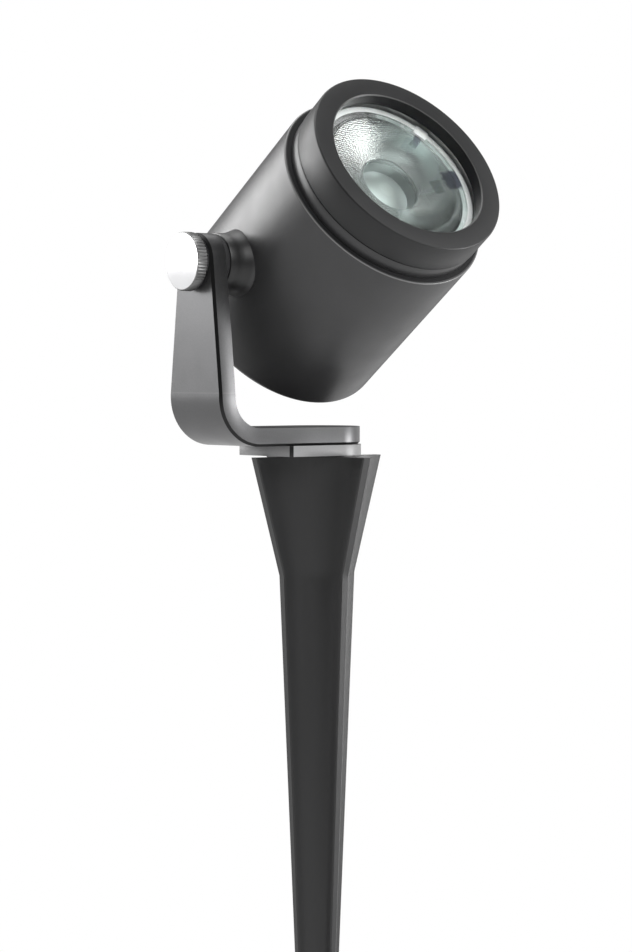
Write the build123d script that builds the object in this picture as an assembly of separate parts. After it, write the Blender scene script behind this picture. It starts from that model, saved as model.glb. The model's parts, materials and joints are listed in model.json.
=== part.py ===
from build123d import *
import math
import os

# Garden spike spotlight: a round LED head on a one-armed strap bracket, held by a four-finned
# ground spike. Millimetres, +Z up. The origin is on the spike's axis at the spike's top face.
# The beam points to -Y and upwards, and the bracket's arm stands on the -X side of the head.

# ---------------------------------------------------------------- ground spike
SPIKE_LENGTH = 235.0
SPIKE_TOP_REACH = 22.2        # axis to fin edge at the top face
SPIKE_KNEE_REACH = 12.6       # axis to fin edge where the taper changes
SPIKE_KNEE_DEPTH = 33.0
SPIKE_TOE_REACH = 3.2         # axis to fin edge where the point starts
SPIKE_POINT_LENGTH = 11.0
SPIKE_POINT_REACH = 0.5       # blunt end of the point
SPIKE_TOE_VALLEY = 0.6        # valley radius at the toe, as a share of the fin's depth
FIN_TOP_THICKNESS = 2.8
FIN_TOE_THICKNESS = 1.8
FIN_EDGE_BREAK = 0.35         # small bevel on the fins' outer corners
VALLEY_TOP_RADIUS = 17.2      # round hollow between two fins
VALLEY_KNEE_RADIUS = 9.3
SPIGOT_RADIUS = 11.2          # raised round seat on the top face
SPIGOT_HEIGHT = 0.4
INSERT_RADIUS = 5.5           # brass nut moulded into the spike
INSERT_LENGTH = 18.0
INSERT_GROOVE_DEPTH = 0.6
INSERT_GROOVE_WIDTH = 2.5
INSERT_GROOVE_START = 4.5     # nut's foot to the middle of the first groove
INSERT_GROOVE_PITCH = 6.0
INSERT_GROOVES = 3
INSERT_FLOOR = 1.5            # closed end of the nut

# ---------------------------------------------------------------- threads and fits
SCREW_RADIUS = 3.0            # M6 bracket screw and knob stud
THREAD_CLEARANCE = 0.05       # radial, shaft in a turning fit
LOOSE_CLEARANCE = 0.3         # radial, hole that only passes a shank
SEAT_CLEARANCE = 0.05         # radial, pieces that are pushed together
SCREW_HEAD_RADIUS = 5.8
SCREW_HEAD_EDGE = 0.4
SCREW_SOCKET_FLATS = 4.0
SCREW_SOCKET_DEPTH = 2.2
SCREW_REACH = 15.0            # screw length below the foot plate
SCREW_SINK = 0.1              # head below the leg's top face

# ---------------------------------------------------------------- bracket
STRAP_THICKNESS = 5.0
STRAP_WIDTH = 23.8
STRAP_BEND_RADIUS = 8.4       # inner radius of the bend
STRAP_TOP_RADIUS = 7.8        # rounded end about the tilt axis
STRAP_OUTER_BEVEL = 1.0
STRAP_INNER_BEVEL = 0.4
ARM_REACH = 42.1              # spike axis to the arm's outer face
PLATE_THICKNESS = 3.0
PLATE_WIDTH = 24.5
PLATE_TAIL = 18.6             # spike axis to the plate's square end
PLATE_BEVEL = 0.8
PIVOT_HEIGHT = 53.2           # tilt axis above the spike's top face

# ---------------------------------------------------------------- knob
KNOB_RADIUS = 7.95
KNOB_THICKNESS = 3.35
KNOB_TEETH = 40
KNOB_TOOTH_DEPTH = 0.45
KNOB_BEVEL = 0.45
KNOB_WASHER_RADIUS = 7.0
KNOB_WASHER_THICKNESS = 0.85
STUD_TIP_GAP = 0.8            # stud end to the bottom of its blind thread

# ---------------------------------------------------------------- head
BEAM_ELEVATION = 35.3         # degrees above level, as stored
HEAD_OFFSET = 1.9             # head axis beside the spike axis, towards +X
HOUSING_RADIUS = 31.0
HOUSING_BACK = 23.6           # tilt axis to the back face
HOUSING_FRONT = 32.9          # tilt axis to the front rim
HOUSING_WALL = 3.0
HOUSING_FLOOR = 4.0
HOUSING_BACK_ROUND = 1.6
HOUSING_RIM_BEVEL = 0.5
SEAL_INSET = 0.7              # housing's edge to the seal's recess
SEAL_THICKNESS = 0.9
LEDGE_HEIGHT = 7.0            # tilt axis to the underside of the inner ledge
LEDGE_THICKNESS = 3.0
LEDGE_REACH = 6.0             # how far the ledge stands in from the bore

BOSS_RADIUS = 8.0             # round pivot boss on the housing's side
BOSS_FLARE_RADIUS = 9.9       # the boss's foot on the housing
BOSS_FLARE_LENGTH = 2.6
BOSS_FLARE_EDGE = 1.2         # housing's edge to where the flare starts, inside it
FRICTION_WASHER_RADIUS = 7.6
FRICTION_WASHER_THICKNESS = 1.5
PIVOT_INSERT_RADIUS = 4.6
PIVOT_INSERT_LENGTH = 7.4

COLLAR_INSET = 2.0            # housing's edge to the collar's
COLLAR_LENGTH = 3.7
COLLAR_WALL = 2.8             # at the spigot inside the housing
COLLAR_SPIGOT_LENGTH = 8.0
BEZEL_INSET = 1.8             # housing's edge to the bezel's
BEZEL_FRONT = 45.75           # tilt axis to the bezel's front face
BEZEL_FACE_WIDTH = 5.9
BEZEL_LIP = 3.3               # lip thickness in front of the glass gasket
BEZEL_WALL = 2.2
BEZEL_INNER_BEVEL = 0.5
BEZEL_OUTER_BEVEL = 0.35
BEZEL_JOINT_GAP = 0.25        # fine dark line between collar and bezel
GLASS_THICKNESS = 3.0
GLASS_EDGE_GAP = 0.3
GLASS_EDGE_BREAK = 0.3
GASKET_THICKNESS = 0.6
GASKET_INSET = 0.2            # bezel's opening to the gasket's bore

OPTIC_INSET = 0.7             # bezel's opening to the optic's rim
OPTIC_HEIGHT = 18.4
OPTIC_RIM = 1.4
OPTIC_FOOT_RADIUS = 8.4
OPTIC_DISH_LAND = 2.0         # flat land at the rim, outside the dished front
OPTIC_DISH_DEPTH = 3.2        # fall of the dished front from the land to the well
OPTIC_WELL_RADIUS = 8.6       # round well in the optic's front
OPTIC_WELL_DEPTH = 7.0
OPTIC_POCKET_RADIUS = 6.2     # pocket over the emitter
OPTIC_POCKET_DEPTH = 6.5
OPTIC_POCKET_TAPER = 0.5
OPTIC_POCKET_CROWN = 1.6      # convex top of the pocket, towards the emitter
OPTIC_WELL_TAPER = 1.0
OPTIC_WELL_CROWN = 1.8        # convex floor of the well
OPTIC_BELLY = 2.2             # how far the side bows out
OPTIC_RIM_LEDGE = 1.2
OPTIC_GLASS_GAP = 0.85
HOLDER_WALL = 1.6
HOLDER_RING_HEIGHT = 3.2
HOLDER_SEAT = 1.1             # ledge under the optic's rim
HOLDER_HOOKS = 3
HOLDER_HOOK_START = 45        # degrees, first hook
HOLDER_HOOK_WIDTH = 4.0
HOLDER_HOOK_REACH = 1.8       # how far a hook lies over the optic
HOLDER_HOOK_THICKNESS = 0.5
HOLDER_LEG_WIDTH = 5.0

HEAT_PLATE_THICKNESS = 5.0
PAD_MARGIN = 4.0              # board screws' circle to the pad's edge
PAD_THICKNESS = 0.4
LED_BOARD_INSET = 3.4         # housing's bore to the board's edge
LED_BOARD_THICKNESS = 1.6
EMITTER_SIDE = 13.4
EMITTER_THICKNESS = 0.8
EMITTER_DOT_RADIUS = 4.6
EMITTER_DOT_HEIGHT = 0.5
BOARD_SCREW_RADIUS = 1.5      # M3
BOARD_SCREW_HEAD_RADIUS = 2.7
BOARD_SCREW_HEAD_HEIGHT = 1.8
BOARD_SCREW_LENGTH = 6.0
BOARD_SCREW_CIRCLE = 14.0
BOARD_SCREW_COUNT = 2
PLATE_SCREW_INSET = 3.0       # housing's bore to the screws' circle
PLATE_SCREW_START = 90        # degrees, first screw
PLATE_SCREW_COUNT = 3
PLATE_SCREW_LENGTH = 7.2
LEAD_RADIUS = 0.8
LEAD_INSET = 3.0              # ledge's bore to the leads' circle
LEAD_HOLE_RADIUS = 3.4
LEAD_SPACING = 2.4
LEAD_CLOSE_SPACING = 1.92     # above the heat plate
LEAD_CLOSE_LENGTH = 3.0       # length over which the leads draw together
LEAD_ARCH = 3.0               # height of the leads over the emitter board
LEAD_PAD_GAP = 3.2            # emitter's edge to the leads' ends
LEAD_SEAT_DEPTH = 3.5         # lead inside the terminal
LEAD_BEND = 1.4

DRIVER_BOARD_INSET = 3.5      # housing's bore to the board's edge
DRIVER_BOARD_THICKNESS = 1.6
PILLAR_HEIGHT = 10.8
PILLAR_RADIUS = 3.0
PILLAR_INSET = 4.0            # driver board's edge to the pillars' circle
PILLAR_COUNT = 3
PILLAR_START = 90             # degrees, first pillar
DRIVER_SCREW_LENGTH = 6.0
INDUCTOR_SIDE = 12.0
INDUCTOR_HEIGHT = 9.0
INDUCTOR_BEVEL = 1.5
INDUCTOR_PLACE = (-8.0, 6.0)
CAPACITOR_RADIUS = 4.0
CAPACITOR_HEIGHT = 11.0
CAPACITOR_ROUND = 0.6
CAPACITOR_GROOVE_DEPTH = 0.4
CAPACITOR_GROOVE_WIDTH = 0.7
CAPACITOR_GROOVE_START = 1.5
CAPACITOR_PLACE = (8.0, 9.0)
TERMINAL_WIDTH = 10.0
TERMINAL_DEPTH = 6.0
TERMINAL_HEIGHT = 7.0
TERMINAL_OFFSET = 2.0         # leads' circle to the terminal's middle
TERMINAL_ENTRY_DEPTH = 4.0
TERMINAL_SCREW_RADIUS = 1.3
TERMINAL_SCREW_DEPTH = 1.2
TERMINAL_SCREW_OFFSET = 3.0   # leads' circle to the terminal's screws
TERMINAL_CLEARANCE = 0.1      # radial, lead in its entry

# ---------------------------------------------------------------- cable gland, back of the head
GLAND_SHANK_RADIUS = 6.0
GLAND_FLATS = 15.0
GLAND_HEX_LENGTH = 4.6
GLAND_RING_THICKNESS = 0.8
GLAND_RING_RADIUS = 8.2
GLAND_INNER_LENGTH = 4.0      # shank inside the head
LOCKNUT_THICKNESS = 2.6
GLAND_NECK_RADIUS = 6.2
GLAND_NECK_LENGTH = 4.0
GLAND_NUT_RADIUS = 8.0
GLAND_NUT_LENGTH = 9.6
GLAND_NUT_RIBS = 12
GLAND_NUT_RIB_DEPTH = 0.5
GLAND_NUT_WALL = 1.5
GLAND_NUT_NOSE = 2.0          # how far the dome end draws in
GLAND_NUT_NOSE_LENGTH = 2.4
GLAND_RING_CLEARANCE = 0.1
GLAND_BORE_CLEARANCE = 0.5    # radial, cable in the gland's body
CABLE_BORE = 3.3              # radius, takes a 6.5 mm round cable

# ---------------------------------------------------------------- worked-out places
PLATE_BOTTOM = SPIGOT_HEIGHT
LEG_BOTTOM = PLATE_BOTTOM + PLATE_THICKNESS
LEG_TOP = LEG_BOTTOM + STRAP_THICKNESS
BEND_OUTER = STRAP_BEND_RADIUS + STRAP_THICKNESS
BEND_TOP = LEG_BOTTOM + BEND_OUTER
ARM_INNER = ARM_REACH - STRAP_THICKNESS
BOSS_END = ARM_INNER - FRICTION_WASHER_THICKNESS
KNOB_BACK = ARM_REACH + KNOB_WASHER_THICKNESS
THREAD_HOLE = SCREW_RADIUS + THREAD_CLEARANCE
LOOSE_HOLE = SCREW_RADIUS + LOOSE_CLEARANCE

HOUSING_BORE = HOUSING_RADIUS - HOUSING_WALL
SEAL_RADIUS = HOUSING_RADIUS - SEAL_INSET
LEDGE_BORE = HOUSING_BORE - LEDGE_REACH
COLLAR_RADIUS = HOUSING_RADIUS - COLLAR_INSET
COLLAR_BORE = HOUSING_BORE - COLLAR_WALL
BEZEL_RADIUS = HOUSING_RADIUS - BEZEL_INSET
BEZEL_OPENING_RADIUS = BEZEL_RADIUS - BEZEL_FACE_WIDTH
OPTIC_RADIUS = BEZEL_OPENING_RADIUS - OPTIC_INSET
PAD_RADIUS = BOARD_SCREW_CIRCLE + PAD_MARGIN
LED_BOARD_RADIUS = HOUSING_BORE - LED_BOARD_INSET
PLATE_SCREW_CIRCLE = HOUSING_BORE - PLATE_SCREW_INSET
LEAD_CIRCLE = LEDGE_BORE - LEAD_INSET
DRIVER_BOARD_RADIUS = HOUSING_BORE - DRIVER_BOARD_INSET
PILLAR_CIRCLE = DRIVER_BOARD_RADIUS - PILLAR_INSET
SEAL_BACK = HOUSING_FRONT - SEAL_THICKNESS
COLLAR_FRONT = HOUSING_FRONT + COLLAR_LENGTH
BEZEL_BACK = COLLAR_FRONT + BEZEL_JOINT_GAP
LIP_BACK = BEZEL_FRONT - BEZEL_LIP
GLASS_FRONT = LIP_BACK - GASKET_THICKNESS
GLASS_BACK = GLASS_FRONT - GLASS_THICKNESS
BEZEL_BORE = BEZEL_RADIUS - BEZEL_WALL
GLASS_RADIUS = BEZEL_BORE - GLASS_EDGE_GAP
COLLAR_NOSE = BEZEL_BORE - SEAT_CLEARANCE
OPTIC_FRONT = GLASS_BACK - OPTIC_GLASS_GAP
OPTIC_BACK = OPTIC_FRONT - OPTIC_HEIGHT
HEAT_PLATE_BACK = LEDGE_HEIGHT + LEDGE_THICKNESS
HEAT_PLATE_FRONT = HEAT_PLATE_BACK + HEAT_PLATE_THICKNESS
LED_BOARD_BACK = HEAT_PLATE_FRONT + PAD_THICKNESS
LED_BOARD_FRONT = LED_BOARD_BACK + LED_BOARD_THICKNESS
FLOOR_FRONT = HOUSING_FLOOR - HOUSING_BACK
DRIVER_BACK = FLOOR_FRONT + PILLAR_HEIGHT
DRIVER_FRONT = DRIVER_BACK + DRIVER_BOARD_THICKNESS
GLAND_HEX_FRONT = -HOUSING_BACK - GLAND_RING_THICKNESS
GLAND_HEX_BACK = GLAND_HEX_FRONT - GLAND_HEX_LENGTH
GLAND_NUT_FRONT = GLAND_HEX_BACK - LOOSE_CLEARANCE
GLAND_NUT_BACK = GLAND_NUT_FRONT - GLAND_NUT_LENGTH
TERMINAL_TOP = DRIVER_FRONT + TERMINAL_HEIGHT


# ---------------------------------------------------------------- shared shapes
def turned(points):
    """Solid of revolution about Z from an outline of (radius, height) corners."""
    outline = make_face(Polyline([(radius, 0, height) for radius, height in points], close=True))
    return revolve(outline, Axis.Z)


def rod(radius, low, high, x=0.0, y=0.0):
    """Round bar along Z between two heights."""
    bar = Cylinder(radius, high - low, align=(Align.CENTER, Align.CENTER, Align.MIN))
    return Pos(x, y, low) * bar


def tube(outer, inner, low, high):
    """Round sleeve along Z between two heights."""
    return rod(outer, low, high) - rod(inner, low - 1, high + 1)


def block(width, depth, low, high, x=0.0, y=0.0):
    """Rectangular block between two heights, centred on (x, y)."""
    body = Box(width, depth, high - low, align=(Align.CENTER, Align.CENTER, Align.MIN))
    return Pos(x, y, low) * body


def dome(radius, edge_height, top_height):
    """Arc of a round dome from its edge to its top on the axis, as (radius, height)."""
    rise = top_height - edge_height
    bow = (radius**2 + rise**2) / (2 * rise)
    half_angle = math.asin(radius / abs(bow)) / 2
    middle = (abs(bow) * math.sin(half_angle), top_height - bow + bow * math.cos(half_angle))
    return ThreePointArc((radius, edge_height), middle, (0, top_height))


def hexagon(flats, low, high):
    """Hexagonal bar along Z between two heights."""
    return Pos(0, 0, low) * extrude(RegularPolygon(flats / 2, 6, major_radius=False), high - low)


def along_x(part):
    """Lay a part that was made along +Z so that it points to -X."""
    return Rot(Y=-90) * part


def ring_places(radius, count, start=0.0):
    """Places evenly spaced on a circle, as (x, y, angle in degrees)."""
    places = []
    for step in range(count):
        angle = start + 360.0 * step / count
        x = radius * math.cos(math.radians(angle))
        y = radius * math.sin(math.radians(angle))
        places.append((x, y, angle))
    return places


def ribbed_disc(radius, depth, count, height):
    """Disc whose rim has straight teeth, each a small triangle."""
    corners = []
    for step in range(2 * count):
        angle = math.pi * step / count
        reach = radius if step % 2 == 0 else radius - depth
        corners.append((reach * math.cos(angle), reach * math.sin(angle)))
    return extrude(make_face(Polyline(corners, close=True)), height)


def at_pivot(part):
    """Move a part made about the tilt axis, pointing to -X, to its place."""
    return Pos(0, 0, PIVOT_HEIGHT) * part


def on_head(part):
    """Move a head part made about Z, with the tilt axis at height 0, to its place."""
    return Pos(HEAD_OFFSET, 0, PIVOT_HEIGHT) * Rot(X=90.0 - BEAM_ELEVATION) * part


def pan_screw(length, radius, head_radius, head_height):
    """Small screw with a domed head, its head's underside at height 0."""
    shank = rod(radius, -length, 0)
    head = rod(head_radius, 0, head_height)
    head = fillet(head.edges().filter_by(GeomType.CIRCLE).sort_by(Axis.Z)[-1], head_height * 0.6)
    slot = block(2.4 * radius, 0.5 * radius, 0.5 * head_height, head_height + 1)
    cross = Rot(Z=90) * slot
    return shank + head - slot - cross


# ---------------------------------------------------------------- ground spike
def spike_section(height, reach, thickness, valley):
    """Four-finned cross-section: flat fin sides that run into round valleys."""
    half = thickness / 2
    lip = FIN_EDGE_BREAK
    edges = []
    for quarter in range(4):
        turn = Rot(Z=90 * quarter)
        tip_low = (reach, lip - half)
        tip_high = (reach, half - lip)
        side_start = (reach - lip, half)
        side_end = (half + valley, half)
        deep = half + valley * (1 - math.sqrt(0.5))
        next_start = (half, half + valley)
        next_end = (half, reach - lip)
        next_tip = (half - lip, reach)
        edges.append(turn * Line(tip_low, tip_high))
        edges.append(turn * Line(tip_high, side_start))
        edges.append(turn * Line(side_start, side_end))
        edges.append(turn * ThreePointArc(side_end, (deep, deep), next_start))
        edges.append(turn * Line(next_start, next_end))
        edges.append(turn * Line(next_end, next_tip))
    return Pos(0, 0, height) * make_face(edges)


def make_spike():
    """Fins in three tapers with a raised seat and a pocket for the brass insert."""
    knee_share = SPIKE_KNEE_DEPTH / SPIKE_LENGTH
    knee_thickness = FIN_TOP_THICKNESS + (FIN_TOE_THICKNESS - FIN_TOP_THICKNESS) * knee_share
    toe_height = SPIKE_POINT_LENGTH - SPIKE_LENGTH
    toe_valley = (SPIKE_TOE_REACH - FIN_TOE_THICKNESS / 2) * SPIKE_TOE_VALLEY
    point_scale = SPIKE_POINT_REACH / SPIKE_TOE_REACH
    top = spike_section(0, SPIKE_TOP_REACH, FIN_TOP_THICKNESS, VALLEY_TOP_RADIUS)
    knee = spike_section(-SPIKE_KNEE_DEPTH, SPIKE_KNEE_REACH, knee_thickness, VALLEY_KNEE_RADIUS)
    toe = spike_section(toe_height, SPIKE_TOE_REACH, FIN_TOE_THICKNESS, toe_valley)
    body = loft([top, knee], ruled=True) + loft([knee, toe], ruled=True)
    point_top = Pos(0, 0, toe_height) * Circle(SPIKE_TOE_REACH)
    point_end = Pos(0, 0, -SPIKE_LENGTH) * Circle(SPIKE_TOE_REACH * point_scale)
    body += loft([point_top, point_end])
    body += rod(SPIGOT_RADIUS, 0, SPIGOT_HEIGHT)
    pocket = rod(INSERT_RADIUS, SPIGOT_HEIGHT - INSERT_LENGTH, SPIGOT_HEIGHT + 1)
    return body - pocket


def make_spike_insert():
    """Grooved brass nut, blind, that takes the bracket screw."""
    low = SPIGOT_HEIGHT - INSERT_LENGTH
    nut = rod(INSERT_RADIUS - SEAT_CLEARANCE, low, SPIGOT_HEIGHT)
    nut -= rod(THREAD_HOLE, low + INSERT_FLOOR, SPIGOT_HEIGHT + 1)
    for step in range(INSERT_GROOVES):
        middle = low + INSERT_GROOVE_START + step * INSERT_GROOVE_PITCH
        ring = tube(
            INSERT_RADIUS + 1,
            INSERT_RADIUS - INSERT_GROOVE_DEPTH,
            middle - INSERT_GROOVE_WIDTH / 2,
            middle + INSERT_GROOVE_WIDTH / 2,
        )
        nut -= ring
    return nut


# ---------------------------------------------------------------- bracket
def bevelled_bar(outline):
    """Strap stock cut to an outline: outer face down with a wide bevel, inner face up."""
    bar = extrude(outline, STRAP_THICKNESS)
    bar = chamfer(bar.faces().sort_by(Axis.Z)[0].edges(), STRAP_OUTER_BEVEL)
    return chamfer(bar.faces().sort_by(Axis.Z)[-1].edges(), STRAP_INNER_BEVEL)


def arm_outline():
    """Arm seen along X: short parallel foot, tapered sides and a rounded top."""
    half = STRAP_WIDTH / 2
    taper_start = BEND_TOP + STRAP_OUTER_BEVEL
    rise = PIVOT_HEIGHT - taper_start
    distance = math.hypot(half, rise)
    lean = math.acos(STRAP_TOP_RADIUS / distance) - math.atan2(rise, half)
    touch_y = STRAP_TOP_RADIUS * math.cos(lean)
    touch_z = PIVOT_HEIGHT + STRAP_TOP_RADIUS * math.sin(lean)
    top = (0, PIVOT_HEIGHT + STRAP_TOP_RADIUS)
    foot = BEND_TOP - 2 * STRAP_THICKNESS
    edges = [
        Line((-half, foot), (half, foot)),
        Line((half, foot), (half, taper_start)),
        Line((half, taper_start), (touch_y, touch_z)),
        ThreePointArc((touch_y, touch_z), top, (-touch_y, touch_z)),
        Line((-touch_y, touch_z), (-half, taper_start)),
        Line((-half, taper_start), (-half, foot)),
    ]
    return make_face(edges)


def make_strap():
    """Flat bar bent to an L: a leg on the spike and a tapered arm beside the head."""
    half = STRAP_WIDTH / 2
    bend_x = BEND_OUTER - ARM_REACH
    spare = 2 * STRAP_THICKNESS
    arm = Pos(-ARM_REACH, 0, 0) * (Plane.YZ * bevelled_bar(arm_outline()))
    arm &= block(4 * ARM_REACH, 2 * STRAP_WIDTH, BEND_TOP, 2 * PIVOT_HEIGHT)
    stadium = Pos((bend_x - spare) / 2, 0) * Rectangle(spare - bend_x, STRAP_WIDTH) + Circle(half)
    leg = Pos(0, 0, LEG_BOTTOM) * bevelled_bar(stadium)
    leg &= block(2 * STRAP_WIDTH, 2 * STRAP_WIDTH, 0, BEND_TOP, x=bend_x + STRAP_WIDTH)
    section = Polyline(
        (bend_x, STRAP_OUTER_BEVEL - half, LEG_BOTTOM),
        (bend_x, half - STRAP_OUTER_BEVEL, LEG_BOTTOM),
        (bend_x, half, LEG_BOTTOM + STRAP_OUTER_BEVEL),
        (bend_x, half, LEG_TOP - STRAP_INNER_BEVEL),
        (bend_x, half - STRAP_INNER_BEVEL, LEG_TOP),
        (bend_x, STRAP_INNER_BEVEL - half, LEG_TOP),
        (bend_x, -half, LEG_TOP - STRAP_INNER_BEVEL),
        (bend_x, -half, LEG_BOTTOM + STRAP_OUTER_BEVEL),
        close=True,
    )
    bend = revolve(make_face(section), Axis((bend_x, 0, BEND_TOP), (0, 1, 0)), 90)
    strap = leg + bend + arm
    strap -= at_pivot(along_x(rod(THREAD_HOLE, ARM_INNER - 1, ARM_REACH + 1)))
    strap -= rod(LOOSE_HOLE, LEG_BOTTOM - 1, LEG_TOP + 1)
    return strap - screw_head(SEAT_CLEARANCE)


def screw_head(margin):
    """Countersunk head, flush with the leg, grown all round by a margin."""
    radius = SCREW_HEAD_RADIUS + margin
    edge_low = LEG_TOP - SCREW_HEAD_EDGE - margin
    cone_low = edge_low - (radius - SCREW_RADIUS)
    outline = [(0, cone_low), (SCREW_RADIUS, cone_low), (radius, edge_low)]
    outline += [(radius, LEG_TOP + 1), (0, LEG_TOP + 1)]
    return turned(outline)


def make_bracket_screw():
    """Countersunk screw with a hexagon socket, through leg and plate into the spike."""
    top = LEG_TOP - SCREW_SINK
    screw = screw_head(0) - block(STRAP_WIDTH, STRAP_WIDTH, top, BEND_TOP)
    screw += rod(SCREW_RADIUS, PLATE_BOTTOM - SCREW_REACH, top - SCREW_HEAD_EDGE)
    socket = hexagon(SCREW_SOCKET_FLATS, top - SCREW_SOCKET_DEPTH, LEG_TOP + 1)
    return screw - socket


def make_foot_plate():
    """Plate under the leg, round about the spike's axis and square at its tail."""
    half = PLATE_WIDTH / 2
    plate = block(PLATE_TAIL, PLATE_WIDTH, PLATE_BOTTOM, LEG_BOTTOM, x=-PLATE_TAIL / 2)
    plate += rod(half, PLATE_BOTTOM, LEG_BOTTOM)
    tail = plate.edges().filter_by(Axis.Z).group_by(Axis.X)[0]
    plate = chamfer(tail, PLATE_BEVEL)
    return plate - rod(LOOSE_HOLE, PLATE_BOTTOM - 1, LEG_BOTTOM + 1)


# ---------------------------------------------------------------- knob
def make_knob():
    """Flat knurled thumb screw with its stud in one piece."""
    front = KNOB_BACK + KNOB_THICKNESS
    inner = KNOB_RADIUS - KNOB_BEVEL
    head = Pos(0, 0, KNOB_BACK) * ribbed_disc(KNOB_RADIUS, KNOB_TOOTH_DEPTH, KNOB_TEETH, KNOB_THICKNESS)
    blank = [
        (0, KNOB_BACK),
        (inner, KNOB_BACK),
        (KNOB_RADIUS, KNOB_BACK + KNOB_BEVEL),
        (KNOB_RADIUS, front - KNOB_BEVEL),
        (inner, front),
        (0, front),
    ]
    head = head & turned(blank)
    stud_end = BOSS_END - PIVOT_INSERT_LENGTH + STUD_TIP_GAP
    knob = head + rod(SCREW_RADIUS, stud_end, KNOB_BACK + 1)
    return at_pivot(along_x(knob))


def make_knob_washer():
    """Plain washer between the knob and the arm."""
    return at_pivot(along_x(tube(KNOB_WASHER_RADIUS, LOOSE_HOLE, ARM_REACH, KNOB_BACK)))


def make_friction_washer():
    """Friction disc between the arm and the head's boss."""
    return at_pivot(along_x(tube(FRICTION_WASHER_RADIUS, LOOSE_HOLE, BOSS_END, ARM_INNER)))


def make_pivot_insert():
    """Threaded brass bush in the boss, blind at the head's side."""
    low = BOSS_END - PIVOT_INSERT_LENGTH
    bush = rod(PIVOT_INSERT_RADIUS - SEAT_CLEARANCE, low, BOSS_END)
    bush -= rod(THREAD_HOLE, low, BOSS_END + 1)
    return at_pivot(along_x(bush))


# ---------------------------------------------------------------- head shell
def make_housing():
    """Cast can with a rounded back, inner ledge, pillars, rear hole and side boss."""
    outline = [
        (0, -HOUSING_BACK),
        (HOUSING_RADIUS, -HOUSING_BACK),
        (HOUSING_RADIUS, HOUSING_FRONT - HOUSING_RIM_BEVEL),
        (HOUSING_RADIUS - HOUSING_RIM_BEVEL, HOUSING_FRONT),
        (0, HOUSING_FRONT),
    ]
    can = turned(outline)
    back_rim = can.edges().filter_by(GeomType.CIRCLE).sort_by(Axis.Z)[0]
    can = fillet(back_rim, HOUSING_BACK_ROUND)
    boss_length = BOSS_END + HEAD_OFFSET
    flare_end = HOUSING_RADIUS + BOSS_FLARE_LENGTH
    flare_foot = HOUSING_RADIUS - HOUSING_WALL / 2
    boss = turned(
        [
            (0, flare_foot),
            (BOSS_FLARE_RADIUS, flare_foot),
            (BOSS_FLARE_RADIUS, HOUSING_RADIUS - BOSS_FLARE_EDGE),
            (BOSS_RADIUS, flare_end),
            (BOSS_RADIUS, boss_length),
            (0, boss_length),
        ]
    )
    can += along_x(boss)
    can -= rod(HOUSING_BORE, FLOOR_FRONT, LEDGE_HEIGHT)
    can -= rod(LEDGE_BORE, LEDGE_HEIGHT - 1, HEAT_PLATE_BACK + 1)
    can -= rod(HOUSING_BORE, HEAT_PLATE_BACK, HOUSING_FRONT + 1)
    can -= rod(SEAL_RADIUS, SEAL_BACK, HOUSING_FRONT + 1)
    can -= along_x(rod(PIVOT_INSERT_RADIUS, boss_length - PIVOT_INSERT_LENGTH, boss_length + 1))
    can -= rod(GLAND_SHANK_RADIUS + SEAT_CLEARANCE, -HOUSING_BACK - 1, FLOOR_FRONT + 1)
    for x, y, _ in ring_places(PILLAR_CIRCLE, PILLAR_COUNT, PILLAR_START):
        can += rod(PILLAR_RADIUS, FLOOR_FRONT, DRIVER_BACK, x, y)
        can -= rod(BOARD_SCREW_RADIUS, DRIVER_BACK - DRIVER_SCREW_LENGTH, DRIVER_BACK + 1, x, y)
    for x, y, _ in ring_places(PLATE_SCREW_CIRCLE, PLATE_SCREW_COUNT, PLATE_SCREW_START):
        can -= rod(BOARD_SCREW_RADIUS, LEDGE_HEIGHT - 1, HEAT_PLATE_BACK + 1, x, y)
    return on_head(can)


def make_body_seal():
    """Flat rubber ring in the rim's recess, under the collar."""
    return on_head(tube(SEAL_RADIUS - SEAT_CLEARANCE, HOUSING_BORE, SEAL_BACK, HOUSING_FRONT))


def make_collar():
    """Sleeve that screws into the housing and carries the glass on its nose."""
    outline = [
        (COLLAR_BORE, SEAL_BACK - COLLAR_SPIGOT_LENGTH),
        (HOUSING_BORE - SEAT_CLEARANCE, SEAL_BACK - COLLAR_SPIGOT_LENGTH),
        (HOUSING_BORE - SEAT_CLEARANCE, HOUSING_FRONT),
        (COLLAR_RADIUS, HOUSING_FRONT),
        (COLLAR_RADIUS, COLLAR_FRONT),
        (COLLAR_NOSE, COLLAR_FRONT),
        (COLLAR_NOSE, GLASS_BACK),
        (COLLAR_BORE, GLASS_BACK),
    ]
    return on_head(turned(outline))


def make_bezel():
    """Front ring with a wide flat face and a deep lip over the glass."""
    outline = [
        (BEZEL_BORE, BEZEL_BACK),
        (BEZEL_RADIUS, BEZEL_BACK),
        (BEZEL_RADIUS, BEZEL_FRONT - BEZEL_OUTER_BEVEL),
        (BEZEL_RADIUS - BEZEL_OUTER_BEVEL, BEZEL_FRONT),
        (BEZEL_OPENING_RADIUS + BEZEL_INNER_BEVEL, BEZEL_FRONT),
        (BEZEL_OPENING_RADIUS, BEZEL_FRONT - BEZEL_INNER_BEVEL),
        (BEZEL_OPENING_RADIUS, LIP_BACK),
        (BEZEL_BORE, LIP_BACK),
    ]
    return on_head(turned(outline))


def make_glass_gasket():
    """Silicone ring between the bezel's lip and the glass."""
    return on_head(tube(GLASS_RADIUS, BEZEL_OPENING_RADIUS + GASKET_INSET, GLASS_FRONT, LIP_BACK))


def make_front_glass():
    """Round flat glass with a small ground edge."""
    disc = rod(GLASS_RADIUS, GLASS_BACK, GLASS_FRONT)
    disc = chamfer(disc.edges().filter_by(GeomType.CIRCLE), GLASS_EDGE_BREAK)
    return on_head(disc)


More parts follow.
